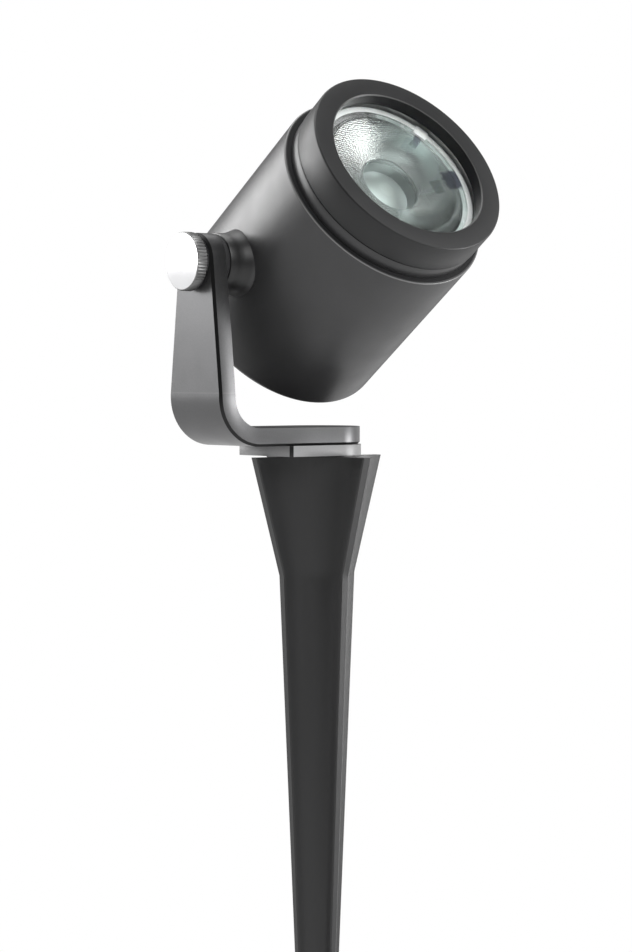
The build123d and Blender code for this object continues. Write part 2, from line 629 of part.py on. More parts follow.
# ---------------------------------------------------------------- optic and light engine
def make_optic():
    """Clear collimating optic: bell-shaped side, front well and rear pocket."""
    rim_back = OPTIC_FRONT - OPTIC_RIM
    shoulder = OPTIC_RADIUS - OPTIC_RIM_LEDGE
    bend = ((shoulder + OPTIC_FOOT_RADIUS) / 2 + OPTIC_BELLY, (rim_back + OPTIC_BACK) / 2)
    well_floor = OPTIC_FRONT - OPTIC_WELL_DEPTH
    well_foot = OPTIC_WELL_RADIUS - OPTIC_WELL_TAPER
    well_edge = OPTIC_FRONT - OPTIC_DISH_DEPTH
    pocket_top = OPTIC_BACK + OPTIC_POCKET_DEPTH
    pocket_head = OPTIC_POCKET_RADIUS - OPTIC_POCKET_TAPER
    side = [
        dome(well_foot, well_floor, well_floor + OPTIC_WELL_CROWN),
        Line((well_foot, well_floor), (OPTIC_WELL_RADIUS, well_edge)),
        Line((OPTIC_WELL_RADIUS, well_edge), (OPTIC_RADIUS - OPTIC_DISH_LAND, OPTIC_FRONT)),
        Line((OPTIC_RADIUS - OPTIC_DISH_LAND, OPTIC_FRONT), (OPTIC_RADIUS, OPTIC_FRONT)),
        Line((OPTIC_RADIUS, OPTIC_FRONT), (OPTIC_RADIUS, rim_back)),
        Line((OPTIC_RADIUS, rim_back), (shoulder, rim_back)),
        ThreePointArc((shoulder, rim_back), bend, (OPTIC_FOOT_RADIUS, OPTIC_BACK)),
        Line((OPTIC_FOOT_RADIUS, OPTIC_BACK), (OPTIC_POCKET_RADIUS, OPTIC_BACK)),
        Line((OPTIC_POCKET_RADIUS, OPTIC_BACK), (pocket_head, pocket_top)),
        dome(pocket_head, pocket_top, pocket_top - OPTIC_POCKET_CROWN),
        Line((0, pocket_top - OPTIC_POCKET_CROWN), (0, well_floor + OPTIC_WELL_CROWN)),
    ]
    return on_head(revolve(Plane.XZ * make_face(side), Axis.Z))


def make_lens_holder():
    """Ring round the optic with legs to the board and hooks over the optic's rim."""
    inner = OPTIC_RADIUS + SEAT_CLEARANCE
    outer = inner + HOLDER_WALL
    ring_low = OPTIC_FRONT - HOLDER_RING_HEIGHT
    hook_top = OPTIC_FRONT + HOLDER_HOOK_THICKNESS
    holder = tube(outer, inner, ring_low, OPTIC_FRONT)
    seat = tube(outer, inner - HOLDER_SEAT, ring_low, OPTIC_FRONT - OPTIC_RIM)
    hooks = tube(outer, OPTIC_RADIUS - HOLDER_HOOK_REACH, OPTIC_FRONT, hook_top)
    legs = tube(outer, inner, LED_BOARD_FRONT, ring_low)
    hook_span = Part()
    leg_span = Part()
    for _, _, angle in ring_places(0, HOLDER_HOOKS, HOLDER_HOOK_START):
        turn = Rot(Z=angle)
        hook_span += turn * block(BEZEL_RADIUS, HOLDER_HOOK_WIDTH, 0, BEZEL_FRONT, x=BEZEL_RADIUS / 2)
        leg_span += turn * block(BEZEL_RADIUS, HOLDER_LEG_WIDTH, 0, BEZEL_FRONT, x=BEZEL_RADIUS / 2)
    holder += seat
    holder += hooks & hook_span
    holder += legs & leg_span
    return on_head(holder)


def make_heat_plate():
    """Aluminium disc on the housing's ledge, with a hole for the leads."""
    plate = rod(HOUSING_BORE - SEAT_CLEARANCE, HEAT_PLATE_BACK, HEAT_PLATE_FRONT)
    plate -= rod(LEAD_HOLE_RADIUS, HEAT_PLATE_BACK - 1, HEAT_PLATE_FRONT + 1, y=-LEAD_CIRCLE)
    for x, y, _ in ring_places(BOARD_SCREW_CIRCLE, BOARD_SCREW_COUNT, 0):
        low = LED_BOARD_FRONT - BOARD_SCREW_LENGTH
        plate -= rod(BOARD_SCREW_RADIUS, low, HEAT_PLATE_FRONT + 1, x, y)
    for x, y, _ in ring_places(PLATE_SCREW_CIRCLE, PLATE_SCREW_COUNT, PLATE_SCREW_START):
        reach = BOARD_SCREW_RADIUS + LOOSE_CLEARANCE
        head = BOARD_SCREW_HEAD_RADIUS + LOOSE_CLEARANCE
        sink = HEAT_PLATE_FRONT - BOARD_SCREW_HEAD_HEIGHT
        plate -= rod(reach, HEAT_PLATE_BACK - 1, HEAT_PLATE_FRONT + 1, x, y)
        plate -= rod(head, sink, HEAT_PLATE_FRONT + 1, x, y)
    return on_head(plate)


def make_thermal_pad():
    """Thin pad between the board and the heat plate."""
    pad = rod(PAD_RADIUS, HEAT_PLATE_FRONT, LED_BOARD_BACK)
    for x, y, _ in ring_places(BOARD_SCREW_CIRCLE, BOARD_SCREW_COUNT, 0):
        pad -= rod(BOARD_SCREW_RADIUS + LOOSE_CLEARANCE, HEAT_PLATE_BACK, LED_BOARD_FRONT, x, y)
    pad -= rod(LEAD_HOLE_RADIUS, HEAT_PLATE_BACK, LED_BOARD_FRONT, y=-LEAD_CIRCLE)
    return on_head(pad)


def make_led_board():
    """Round metal-core board with screw holes and a notch for the leads."""
    board = rod(LED_BOARD_RADIUS, LED_BOARD_BACK, LED_BOARD_FRONT)
    for x, y, _ in ring_places(BOARD_SCREW_CIRCLE, BOARD_SCREW_COUNT, 0):
        board -= rod(BOARD_SCREW_RADIUS + LOOSE_CLEARANCE, HEAT_PLATE_BACK, OPTIC_FRONT, x, y)
    board -= rod(LEAD_HOLE_RADIUS, HEAT_PLATE_BACK, OPTIC_FRONT, y=-LEAD_CIRCLE)
    return on_head(board)


def make_led_emitter():
    """Square emitter with its round light-giving dot."""
    top = LED_BOARD_FRONT + EMITTER_THICKNESS
    chip = block(EMITTER_SIDE, EMITTER_SIDE, LED_BOARD_FRONT, top)
    chip += rod(EMITTER_DOT_RADIUS, top, top + EMITTER_DOT_HEIGHT)
    return on_head(chip)


def screw_set(circle, count, start, seat, length):
    """Equal small screws on a circle, each a solid of its own."""
    screws = []
    for x, y, _ in ring_places(circle, count, start):
        screw = pan_screw(length, BOARD_SCREW_RADIUS - SEAT_CLEARANCE,
                          BOARD_SCREW_HEAD_RADIUS, BOARD_SCREW_HEAD_HEIGHT)
        screws.append(on_head(Pos(x, y, seat) * screw))
    return Compound(screws)


# ---------------------------------------------------------------- driver
def make_driver_board():
    """Round driver board on the housing's pillars."""
    board = rod(DRIVER_BOARD_RADIUS, DRIVER_BACK, DRIVER_FRONT)
    for x, y, _ in ring_places(PILLAR_CIRCLE, PILLAR_COUNT, PILLAR_START):
        board -= rod(BOARD_SCREW_RADIUS + LOOSE_CLEARANCE, DRIVER_BACK - 1, DRIVER_FRONT + 1, x, y)
    return on_head(board)


def make_driver_inductor():
    """Shielded power inductor with bevelled corners."""
    top = DRIVER_FRONT + INDUCTOR_HEIGHT
    part = block(INDUCTOR_SIDE, INDUCTOR_SIDE, DRIVER_FRONT, top, *INDUCTOR_PLACE)
    return on_head(chamfer(part.edges().filter_by(Axis.Z), INDUCTOR_BEVEL))


def make_driver_capacitor():
    """Upright electrolytic capacitor with its pressed ring."""
    top = DRIVER_FRONT + CAPACITOR_HEIGHT
    can = rod(CAPACITOR_RADIUS, DRIVER_FRONT, top)
    can = fillet(can.edges().filter_by(GeomType.CIRCLE).sort_by(Axis.Z)[-1], CAPACITOR_ROUND)
    low = DRIVER_FRONT + CAPACITOR_GROOVE_START
    waist = CAPACITOR_RADIUS - CAPACITOR_GROOVE_DEPTH
    can -= tube(CAPACITOR_RADIUS + 1, waist, low, low + CAPACITOR_GROOVE_WIDTH)
    return on_head(Pos(*CAPACITOR_PLACE) * can)


def make_driver_terminal():
    """Two-way terminal block for the leads to the emitter."""
    top = TERMINAL_TOP
    body = block(TERMINAL_WIDTH, TERMINAL_DEPTH, DRIVER_FRONT, top, y=TERMINAL_OFFSET - LEAD_CIRCLE)
    entry = LEAD_RADIUS + TERMINAL_CLEARANCE
    screw_y = TERMINAL_SCREW_OFFSET - LEAD_CIRCLE
    for x in (-LEAD_SPACING, LEAD_SPACING):
        body -= rod(entry, top - TERMINAL_ENTRY_DEPTH, top + 1, x, -LEAD_CIRCLE)
        body -= rod(TERMINAL_SCREW_RADIUS, top - TERMINAL_SCREW_DEPTH, top + 1, x, screw_y)
    return on_head(body)


def make_lead(side):
    """Insulated lead from the terminal up to the emitter board, bent inwards at its end."""
    start = TERMINAL_TOP - LEAD_SEAT_DEPTH
    top = LED_BOARD_FRONT + LEAD_ARCH
    x = side * LEAD_SPACING
    inner_x = side * LEAD_CLOSE_SPACING
    end_y = -EMITTER_SIDE / 2 - LEAD_PAD_GAP
    route = FilletPolyline(
        (x, -LEAD_CIRCLE, start),
        (x, -LEAD_CIRCLE, HEAT_PLATE_BACK - LEAD_CLOSE_LENGTH),
        (inner_x, -LEAD_CIRCLE, HEAT_PLATE_BACK),
        (inner_x, -LEAD_CIRCLE, top),
        (inner_x, end_y, top),
        (inner_x, end_y, LED_BOARD_FRONT),
        radius=[LEAD_BEND] * 4,
    )
    section = Plane(origin=route @ 0, z_dir=route % 0) * Circle(LEAD_RADIUS)
    return on_head(sweep(section, path=route))


# ---------------------------------------------------------------- cable gland
def make_gland_body():
    """Gland with a hexagon, an inner shank and a rear neck."""
    shank_end = FLOOR_FRONT + GLAND_INNER_LENGTH
    body = rod(GLAND_SHANK_RADIUS, GLAND_HEX_FRONT - 1, shank_end)
    body += hexagon(GLAND_FLATS, GLAND_HEX_BACK, GLAND_HEX_FRONT)
    body += rod(GLAND_NECK_RADIUS, GLAND_HEX_BACK - GLAND_NECK_LENGTH, GLAND_HEX_BACK + 1)
    return on_head(body - rod(CABLE_BORE + GLAND_BORE_CLEARANCE, GLAND_NUT_BACK, shank_end + 1))


def make_gland_ring():
    """Flat seal between the gland and the housing's back."""
    bore = GLAND_SHANK_RADIUS + GLAND_RING_CLEARANCE
    return on_head(tube(GLAND_RING_RADIUS, bore, GLAND_HEX_FRONT, -HOUSING_BACK))


def make_gland_locknut():
    """Thin nut on the shank, inside the head."""
    nut = hexagon(GLAND_FLATS, FLOOR_FRONT, FLOOR_FRONT + LOCKNUT_THICKNESS)
    return on_head(nut - rod(GLAND_SHANK_RADIUS + SEAT_CLEARANCE, -HOUSING_BACK, 0))


def make_gland_nut():
    """Ribbed dome nut that squeezes the seal."""
    nut = Pos(0, 0, GLAND_NUT_BACK) * ribbed_disc(
        GLAND_NUT_RADIUS, GLAND_NUT_RIB_DEPTH, GLAND_NUT_RIBS, GLAND_NUT_LENGTH
    )
    blank = [
        (0, GLAND_NUT_BACK),
        (GLAND_NUT_RADIUS - GLAND_NUT_NOSE, GLAND_NUT_BACK),
        (GLAND_NUT_RADIUS, GLAND_NUT_BACK + GLAND_NUT_NOSE_LENGTH),
        (GLAND_NUT_RADIUS, GLAND_NUT_FRONT),
        (0, GLAND_NUT_FRONT),
    ]
    nut = nut & turned(blank)
    cavity = GLAND_NECK_RADIUS + SEAT_CLEARANCE
    nut -= rod(cavity, GLAND_NUT_BACK + GLAND_NUT_WALL, GLAND_NUT_FRONT + 1)
    return on_head(nut - rod(CABLE_BORE + LOOSE_CLEARANCE, GLAND_NUT_BACK - 1, GLAND_NUT_FRONT))


def make_gland_seal():
    """Rubber bush that grips the cable."""
    low = GLAND_NUT_BACK + GLAND_NUT_WALL
    return on_head(tube(GLAND_NECK_RADIUS, CABLE_BORE, low, GLAND_HEX_BACK - GLAND_NECK_LENGTH))


# ---------------------------------------------------------------- write every piece
PIECES = {
    "spike": make_spike,
    "spike_insert": make_spike_insert,
    "foot_plate": make_foot_plate,
    "strap_bracket": make_strap,
    "bracket_screw": make_bracket_screw,
    "knob": make_knob,
    "knob_washer": make_knob_washer,
    "friction_washer": make_friction_washer,
    "pivot_insert": make_pivot_insert,
    "housing": make_housing,
    "body_seal": make_body_seal,
    "collar": make_collar,
    "bezel": make_bezel,
    "glass_gasket": make_glass_gasket,
    "front_glass": make_front_glass,
    "optic": make_optic,
    "lens_holder": make_lens_holder,
    "heat_plate": make_heat_plate,
    "plate_screws": lambda: screw_set(
        PLATE_SCREW_CIRCLE, PLATE_SCREW_COUNT, PLATE_SCREW_START,
        HEAT_PLATE_FRONT - BOARD_SCREW_HEAD_HEIGHT, PLATE_SCREW_LENGTH - BOARD_SCREW_HEAD_HEIGHT
    ),
    "thermal_pad": make_thermal_pad,
    "led_board": make_led_board,
    "led_emitter": make_led_emitter,
    "board_screws": lambda: screw_set(
        BOARD_SCREW_CIRCLE, BOARD_SCREW_COUNT, 0, LED_BOARD_FRONT, BOARD_SCREW_LENGTH
    ),
    "driver_board": make_driver_board,
    "driver_screws": lambda: screw_set(
        PILLAR_CIRCLE, PILLAR_COUNT, PILLAR_START, DRIVER_FRONT, DRIVER_SCREW_LENGTH
    ),
    "driver_inductor": make_driver_inductor,
    "driver_capacitor": make_driver_capacitor,
    "driver_terminal": make_driver_terminal,
    "lead_red": lambda: make_lead(1),
    "lead_black": lambda: make_lead(-1),
    "gland_body": make_gland_body,
    "gland_ring": make_gland_ring,
    "gland_locknut": make_gland_locknut,
    "gland_nut": make_gland_nut,
    "gland_seal": make_gland_seal,
}

os.makedirs("parts", exist_ok=True)
for name, make in PIECES.items():
    export_step(make(), f"parts/{name}.step")
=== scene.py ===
"""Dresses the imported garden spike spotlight: visual meshes, finishes, studio and camera.

Sizes are in millimetres in each sub-assembly's own frame and become metres where a
piece is finished. The row frame has +Z up and the level beam direction at -Y.
"""

from __future__ import annotations

import json
import logging
import math
from collections.abc import Callable, Iterable, Sequence
from dataclasses import dataclass
from enum import Enum
from functools import cache
from typing import NamedTuple

import bmesh
import bpy
from bmesh.types import BMEdge, BMesh, BMFace, BMVert
from mathutils import Matrix, Vector

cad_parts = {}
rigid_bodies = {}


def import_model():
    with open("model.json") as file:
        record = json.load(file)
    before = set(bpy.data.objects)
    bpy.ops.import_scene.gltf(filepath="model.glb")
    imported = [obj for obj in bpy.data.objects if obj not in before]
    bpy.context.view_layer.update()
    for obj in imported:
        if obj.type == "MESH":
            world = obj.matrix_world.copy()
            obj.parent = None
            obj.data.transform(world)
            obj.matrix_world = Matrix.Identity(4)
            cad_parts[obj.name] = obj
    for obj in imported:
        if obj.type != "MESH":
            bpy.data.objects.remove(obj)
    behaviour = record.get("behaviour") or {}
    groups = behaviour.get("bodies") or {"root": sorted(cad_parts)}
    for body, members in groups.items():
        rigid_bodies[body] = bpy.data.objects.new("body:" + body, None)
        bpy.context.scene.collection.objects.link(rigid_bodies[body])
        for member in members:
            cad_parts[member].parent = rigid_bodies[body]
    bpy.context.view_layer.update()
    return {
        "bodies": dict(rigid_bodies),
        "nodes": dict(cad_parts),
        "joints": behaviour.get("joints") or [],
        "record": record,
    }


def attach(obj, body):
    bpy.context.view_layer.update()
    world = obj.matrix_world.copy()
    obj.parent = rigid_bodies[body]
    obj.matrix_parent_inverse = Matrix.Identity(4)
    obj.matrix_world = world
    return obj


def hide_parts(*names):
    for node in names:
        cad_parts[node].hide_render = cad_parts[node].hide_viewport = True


log = logging.getLogger("spotlight")

MM = 0.001
FULL_TURN = 2 * math.pi
SHADED_CHAMFER = "chamfer_shade"  # face attribute that marks chamfer faces for painted shade
PIVOT_HEIGHT = 53.2  # of the tilt axis over the spike's top face
NOWHERE = 99.0  # past every piece
NOISE_LOW, NOISE_HIGH = 0.3, 0.7  # most of a noise lies between these

Colour = tuple[float, float, float]
Point = tuple[float, float]
Place = tuple[float, float, float]


# --------------------------------------------------------------------------- shaders
def _operator(operation: str, swapped: bool = False) -> Callable[..., "Value"]:
    """Makes a method of Value that adds one Math node.

    Args:
        operation: the node's operation.
        swapped: True where the value is the second operand.

    Returns:
        The method.
    """

    def method(self: "Value", other: object = 0.0) -> "Value":
        """Adds the node on this value and another value or number."""
        first, second = (other, self) if swapped else (self, other)
        return self.graph.node("ShaderNodeMath", {"operation": operation}, {0: first, 1: second})

    return method


class Value:
    """A shader socket that can be used in Python expressions."""

    def __init__(self, graph: "Graph", socket: bpy.types.NodeSocket | None) -> None:
        """Wraps one output socket of a graph."""
        self.graph = graph
        self.socket = socket

    __add__ = __radd__ = _operator("ADD")
    __mul__ = _operator("MULTIPLY")
    __sub__, __rsub__ = _operator("SUBTRACT"), _operator("SUBTRACT", swapped=True)
    __truediv__ = _operator("DIVIDE")
    __pow__ = _operator("POWER")
    __gt__, __lt__ = _operator("GREATER_THAN"), _operator("LESS_THAN")
    at_least, at_most = _operator("MAXIMUM"), _operator("MINIMUM")
    root, size = _operator("SQRT"), _operator("ABSOLUTE")


class Graph:
    """Node tree of one material or world, built as expressions."""

    def __init__(self, tree: bpy.types.NodeTree) -> None:
        """Starts an empty tree, without its default nodes."""
        self.tree = tree
        tree.nodes.clear()

    def node(
        self,
        kind: str,
        settings: dict[str, object] | None = None,
        inputs: dict[int | str, object] | None = None,
        out: int | str = 0,
    ) -> Value:
        """Adds one node.

        Args:
            kind: the node's type name.
            settings: its properties, set before its sockets.
            inputs: socket names or numbers, each with a Value or a constant.
            out: the output socket that is wanted.

        Returns:
            That output as a Value, empty for an end node.
        """
        made = self.tree.nodes.new(kind)
        for key, setting in (settings or {}).items():
            setattr(made, key, setting)
        for key, given in (inputs or {}).items():
            if isinstance(given, Value):
                self.tree.links.new(given.socket, made.inputs[key])
            else:
                made.inputs[key].default_value = given
        return Value(self, made.outputs[out] if len(made.outputs) else None)

    def object_place(self, origin: Place = (0, 0, 0), turn: float = 0.0) -> Value:
        """Object coordinates in metres, from a point in metres and turned about X in radians."""
        coords = self.node("ShaderNodeTexCoord", out="Object")
        places = {"Vector": coords, "Location": origin, "Rotation": (turn, 0.0, 0.0)}
        return self.node("ShaderNodeMapping", {"vector_type": "TEXTURE"}, places)

    def head_place(self, head: "Head") -> Value:
        """Object coordinates in the head's frame."""
        return self.object_place(head.origin, head.turn)

    def parts(self, coords: Value) -> list[Value]:
        """The x, y and z of a vector."""
        split = self.node("ShaderNodeSeparateXYZ", inputs={"Vector": coords})
        return [Value(self, output) for output in split.socket.node.outputs]

    def vector(self, operation: str, first: object, second: object) -> Value:
        """Adds a Vector Math node on two vectors."""
        return self.node("ShaderNodeVectorMath", {"operation": operation}, {0: first, 1: second})

    def scaled(self, colour: Colour, scale: Value) -> Value:
        """A colour made lighter or darker."""
        inputs = {0: colour, "Scale": scale}
        return self.node("ShaderNodeVectorMath", {"operation": "SCALE"}, inputs)

    def noise(self, coords: Value, size_mm: float, detail: float = 3.0, rough: float = 0.5) -> Value:
        """Noise with blobs of about a given size, from 0 to 1."""
        inputs = {"Vector": coords, "Scale": 1 / (size_mm * MM), "Detail": detail, "Roughness": rough}
        return self.node("ShaderNodeTexNoise", inputs=inputs)

    def cells(self, coords: Value, size_mm: float, randomness: float = 1.0) -> Value:
        """Distance to the nearest cell centre, in cell sizes."""
        inputs = {"Vector": coords, "Scale": 1 / (size_mm * MM), "Randomness": randomness}
        return self.node("ShaderNodeTexVoronoi", inputs=inputs)

    def ramp(
        self, factor: Value, low: float, high: float, start: float = 0.0, end: float = 1.0
    ) -> Value:
        """Maps a value from one span to another, clamped."""
        spans = {"Value": factor, "From Min": low, "From Max": high, "To Min": start, "To Max": end}
        return self.node("ShaderNodeMapRange", inputs=spans)

    def vary(self, noise: Value, middle: float, spread: float) -> Value:
        """A value that follows a noise on both sides of its middle."""
        return self.ramp(noise, NOISE_LOW, NOISE_HIGH, middle - spread, middle + spread)

    def blend(self, factor: Value, first: object, second: object) -> Value:
        """Mixes two colours."""
        inputs = {0: factor, 6: _rgba(first), 7: _rgba(second)}
        return self.node("ShaderNodeMix", {"data_type": "RGBA"}, inputs, out=2)

    def bump(self, height: Value, depth_mm: float) -> Value:
        """Bump normal from a height between 0 and 1."""
        inputs = {"Height": height, "Distance": depth_mm * MM, "Strength": 1.0}
        return self.node("ShaderNodeBump", inputs=inputs, out="Normal")

    def principled(self, sockets: dict[str, object]) -> Value:
        """A Principled shader with the given sockets."""
        ready = {key: _rgba(given) if key.endswith("Color") else given for key, given in sockets.items()}
        return self.node("ShaderNodeBsdfPrincipled", inputs=ready)

    def seen(self) -> Value:
        """Above 0 for the camera, reflections and refractions."""
        path = self.node("ShaderNodeLightPath").socket.node.outputs
        rays = [Value(self, path[f"Is {kind} Ray"]) for kind in ("Camera", "Glossy", "Transmission")]
        return rays[0] + rays[1] + rays[2]


def _rgba(given: object) -> object:
    """Adds alpha to a plain colour and leaves anything else."""
    return (*given, 1.0) if isinstance(given, tuple) and len(given) == 3 else given


def new_graph(name: str) -> tuple[bpy.types.Material, Graph]:
    """A new material and its empty graph."""
    material = bpy.data.materials.new(name)
    material.use_nodes = True
    return material, Graph(material.node_tree)


# --------------------------------------------------------------------------- finishes
@dataclass(frozen=True)
class Finish:
    """A named procedural material on one Principled shader."""

    name: str
    colour: Colour

    clear = False

    def sockets(self, g: Graph) -> dict[str, object]:
        """The shader's sockets, each with a Value or a constant."""
        raise NotImplementedError


@cache
def material_of(finish: Finish) -> bpy.types.Material:
    """A finish's material, made once; a clear one lets lamps through."""
    material, g = new_graph(finish.name)
    shader = g.principled(finish.sockets(g))
    if finish.clear:
        shadow = g.node("ShaderNodeLightPath", out="Is Shadow Ray")
        through = g.node("ShaderNodeBsdfTransparent")
        shader = g.node("ShaderNodeMixShader", inputs={0: shadow, 1: shader, 2: through})
    g.node("ShaderNodeOutputMaterial", inputs={"Surface": shader})
    return material


@dataclass(frozen=True)
class HeadZone:
    """Zones of a turned head piece whose colour differs from its coat, in millimetres: a bore, bare
    metal on some pieces and painted shade on the bezel, a painted highlight along a rim and painted
    shade over the side boss.
    """

    head: "Head"
    bore: float
    bore_from: float = -NOWHERE
    bore_colour: Colour = (0.62, 0.62, 0.63)
    bore_metallic: float = 1.0
    rim: Point = (NOWHERE, NOWHERE)
    rim_highlight_width: float = 0.25
    rim_highlight_colour: Colour = (0.07, 0.07, 0.07)
    boss: float = NOWHERE
    boss_fade: float = 0.8
    boss_painted_shade: float = 0.4

    def masks(self, g: Graph) -> tuple[Value, Value, Value]:
        """Where the bore, the rim's painted highlight and the side boss's painted shade are."""
        x, y, z = g.parts(g.head_place(self.head))
        radius = (x * x + y * y).root()
        bore = (radius < self.bore * MM) * (z > self.bore_from * MM)
        # painted highlight: a thin lighter line along the rim's edge
        away = (radius - self.rim[0] * MM) ** 2 + (z - self.rim[1] * MM) ** 2
        rim = g.ramp(away, 0.0, (self.rim_highlight_width * MM) ** 2, 1.0, 0.0)
        # painted shade: the side boss darker, fading in along -X
        boss = g.ramp(x * -1.0, (self.boss - self.boss_fade) * MM, self.boss * MM)
        return bore, rim, boss


@dataclass(frozen=True)
class CoatedMetal(Finish):
    """Metal under a thin satin coat: fine skin, faint mottling, soft gloss changes; marked chamfers
    darkened as painted shade.
    """

    roughness: float
    metallic: float = 0.0
    skin_depth: float = 0.012
    mottle: float = 0.08
    gloss: float = 0.5
    zone: HeadZone | None = None
    mark: Point | None = None
    chamfer_shade: float = 1.0

    CLOUD_MM = 16.0
    SKIN_MM = 0.35
    SPECK = 0.05
    GLOSS_MM = 7.0
    GLOSS_SPREAD = 0.03
    MARK_SHADE = 1.25

    def sockets(self, g: Graph) -> dict[str, object]:
        """The shader's sockets."""
        place = g.object_place()
        cloud = g.noise(place, self.CLOUD_MM, 4.0)
        fine = g.noise(place, self.SKIN_MM, 2.0, 0.6)
        speck = g.ramp(fine, 0.35, 0.65, 1.0 - self.SPECK, 1.0 + self.SPECK)
        if self.mark:
            level, width = self.mark
            line = (g.parts(place)[2] - level * MM).size()
            speck = speck * g.ramp(line, 0.0, width * MM, self.MARK_SHADE, 1.0)
        tint = g.scaled(self.colour, g.vary(cloud, 1.0, self.mottle) * speck)
        # painted shade: faces marked as chamfer darker by this factor
        if self.chamfer_shade != 1.0:
            cut = g.node("ShaderNodeAttribute", {"attribute_name": SHADED_CHAMFER}, out="Fac")
            tint = g.blend(cut, tint, tuple(self.chamfer_shade * c for c in self.colour))
        metallic: object = self.metallic
        if self.zone:
            bore, rim, boss = self.zone.masks(g)
            # painted shade over the side boss, then the bore's colour and the rim's painted highlight
            tint = g.blend(boss, tint, tuple(self.zone.boss_painted_shade * c for c in self.colour))
            tint = g.blend(rim, g.blend(bore, tint, self.zone.bore_colour), self.zone.rim_highlight_colour)
            metallic = bore * self.zone.bore_metallic
        rough = g.vary(g.noise(place, self.GLOSS_MM, 5.0), self.roughness, self.GLOSS_SPREAD)
        return {
            "Base Color": tint,
            "Metallic": metallic,
            "Roughness": rough + fine * self.SPECK,
            "Specular IOR Level": self.gloss,
            "Normal": g.bump(fine, self.skin_depth),
        }


@dataclass(frozen=True)
class MouldedPlastic(Finish):
    """Filled plastic with a spark-eroded skin and faint flow streaks along Z."""

    roughness: float
    streak: float = 0.06

    FLOW_MM = 4.0
    FLOW_STRETCH = (1.0, 1.0, 0.12)
    SKIN_MM = 0.25
    SKIN_DEPTH = 0.02

    def sockets(self, g: Graph) -> dict[str, object]:
        """The shader's sockets."""
        place = g.object_place()
        flow = g.noise(g.vector("MULTIPLY", place, self.FLOW_STRETCH), self.FLOW_MM, 3.0)
        skin = g.noise(place, self.SKIN_MM, 3.0, 0.65)
        return {
            "Base Color": g.scaled(self.colour, g.vary(flow, 1.0, self.streak)),
            "Roughness": g.vary(flow, self.roughness, 0.04),
            "Specular IOR Level": 0.5,
            "Normal": g.bump(skin, self.SKIN_DEPTH),
        }


class Lay(Enum):
    """Direction of the fine tool lines on a metal."""

    PLAIN = "plain"
    TURNED = "turned about the tilt axis"


@dataclass(frozen=True)
class BareMetal(Finish):
    """Bare metal with fine tool lines that change its gloss; a turned one may have a rim that is
    rougher, as a knurl is, and darker as painted shade of the knurl's valleys.
    """

    roughness: float
    lay: Lay = Lay.PLAIN
    rim: Point = (NOWHERE, 0.0)

    LINE_MM = 0.12
    LINE_DEPTH = 0.002
    LINE_SHARE = 0.6
    CLOUD_MM = 3.0
    RIM_ROUGHNESS = 0.25

    def sockets(self, g: Graph) -> dict[str, object]:
        """The shader's sockets."""
        place = g.object_place()
        cloud = g.noise(place, self.CLOUD_MM, 3.0)
        if self.lay is Lay.TURNED:
            _, y, z = g.parts(g.object_place((0, 0, PIVOT_HEIGHT * MM)))
            radius = (y * y + z * z).root()
            place = g.node("ShaderNodeCombineXYZ", inputs={"X": radius})
        lines = g.noise(place, self.LINE_MM, 2.0)
        duller, brighter = self.roughness * 1.25, self.roughness * 0.8
        mixed = lines * self.LINE_SHARE + cloud * (1 - self.LINE_SHARE)
        rough = g.ramp(mixed, NOISE_LOW, NOISE_HIGH, brighter, duller)
        tint: object = self.colour
        if self.lay is Lay.TURNED:
            # the rim: rougher as the knurl's own matt, darker as painted shade of its valleys
            beyond = radius > self.rim[0] * MM
            tint = g.blend(beyond, self.colour, (self.rim[1],) * 3)
            rough = rough + beyond * self.RIM_ROUGHNESS
        return {
            "Base Color": tint,
            "Metallic": 1.0,
            "Roughness": rough,
            "Normal": g.bump(lines, self.LINE_DEPTH),
        }


@dataclass(frozen=True)
class Elastomer(Finish):
    """Matt rubber or a soft pad with a slightly dusty skin."""

    roughness: float = 0.7

    DUST_MM = 2.5
    DUST_SHADE = 1.6
    DUST_MOST = 0.35
    SKIN_MM = 0.2
    SKIN_DEPTH = 0.01

    def sockets(self, g: Graph) -> dict[str, object]:
        """The shader's sockets."""
        place = g.object_place()
        dust = g.noise(place, self.DUST_MM, 4.0)
        dusty = tuple(self.DUST_SHADE * c for c in self.colour)
        return {
            "Base Color": g.blend(g.ramp(dust, 0.4, 0.8, 0.0, self.DUST_MOST), self.colour, dusty),
            "Roughness": g.vary(dust, self.roughness, 0.06),
            "Specular IOR Level": 0.35,
            "Normal": g.bump(g.noise(place, self.SKIN_MM, 2.0), self.SKIN_DEPTH),
        }


@dataclass(frozen=True)
class ClearGlass(Finish):
    """Flat front glass, very slightly green."""

    ior: float = 1.5

    clear = True
    FILM_MM = 9.0
    FILM_ROUGHNESS = 0.02

    def sockets(self, g: Graph) -> dict[str, object]:
        """The shader's sockets."""
        film = g.noise(g.object_place(), self.FILM_MM, 4.0)
        return {
            "Base Color": self.colour,
            "Roughness": g.ramp(film, 0.35, 0.75, 0.0, self.FILM_ROUGHNESS),
            "Transmission Weight": 1.0,
            "IOR": self.ior,
        }


@dataclass(frozen=True)
class PaintedReflection:
    """A painted reflection on the optic's front: middle, half sizes and turn in its front's plane."""

    x: float
    y: float
    half_x: float
    half_y: float
    degrees: float
    depth: float
    colour: Colour = (0.03, 0.03, 0.06)


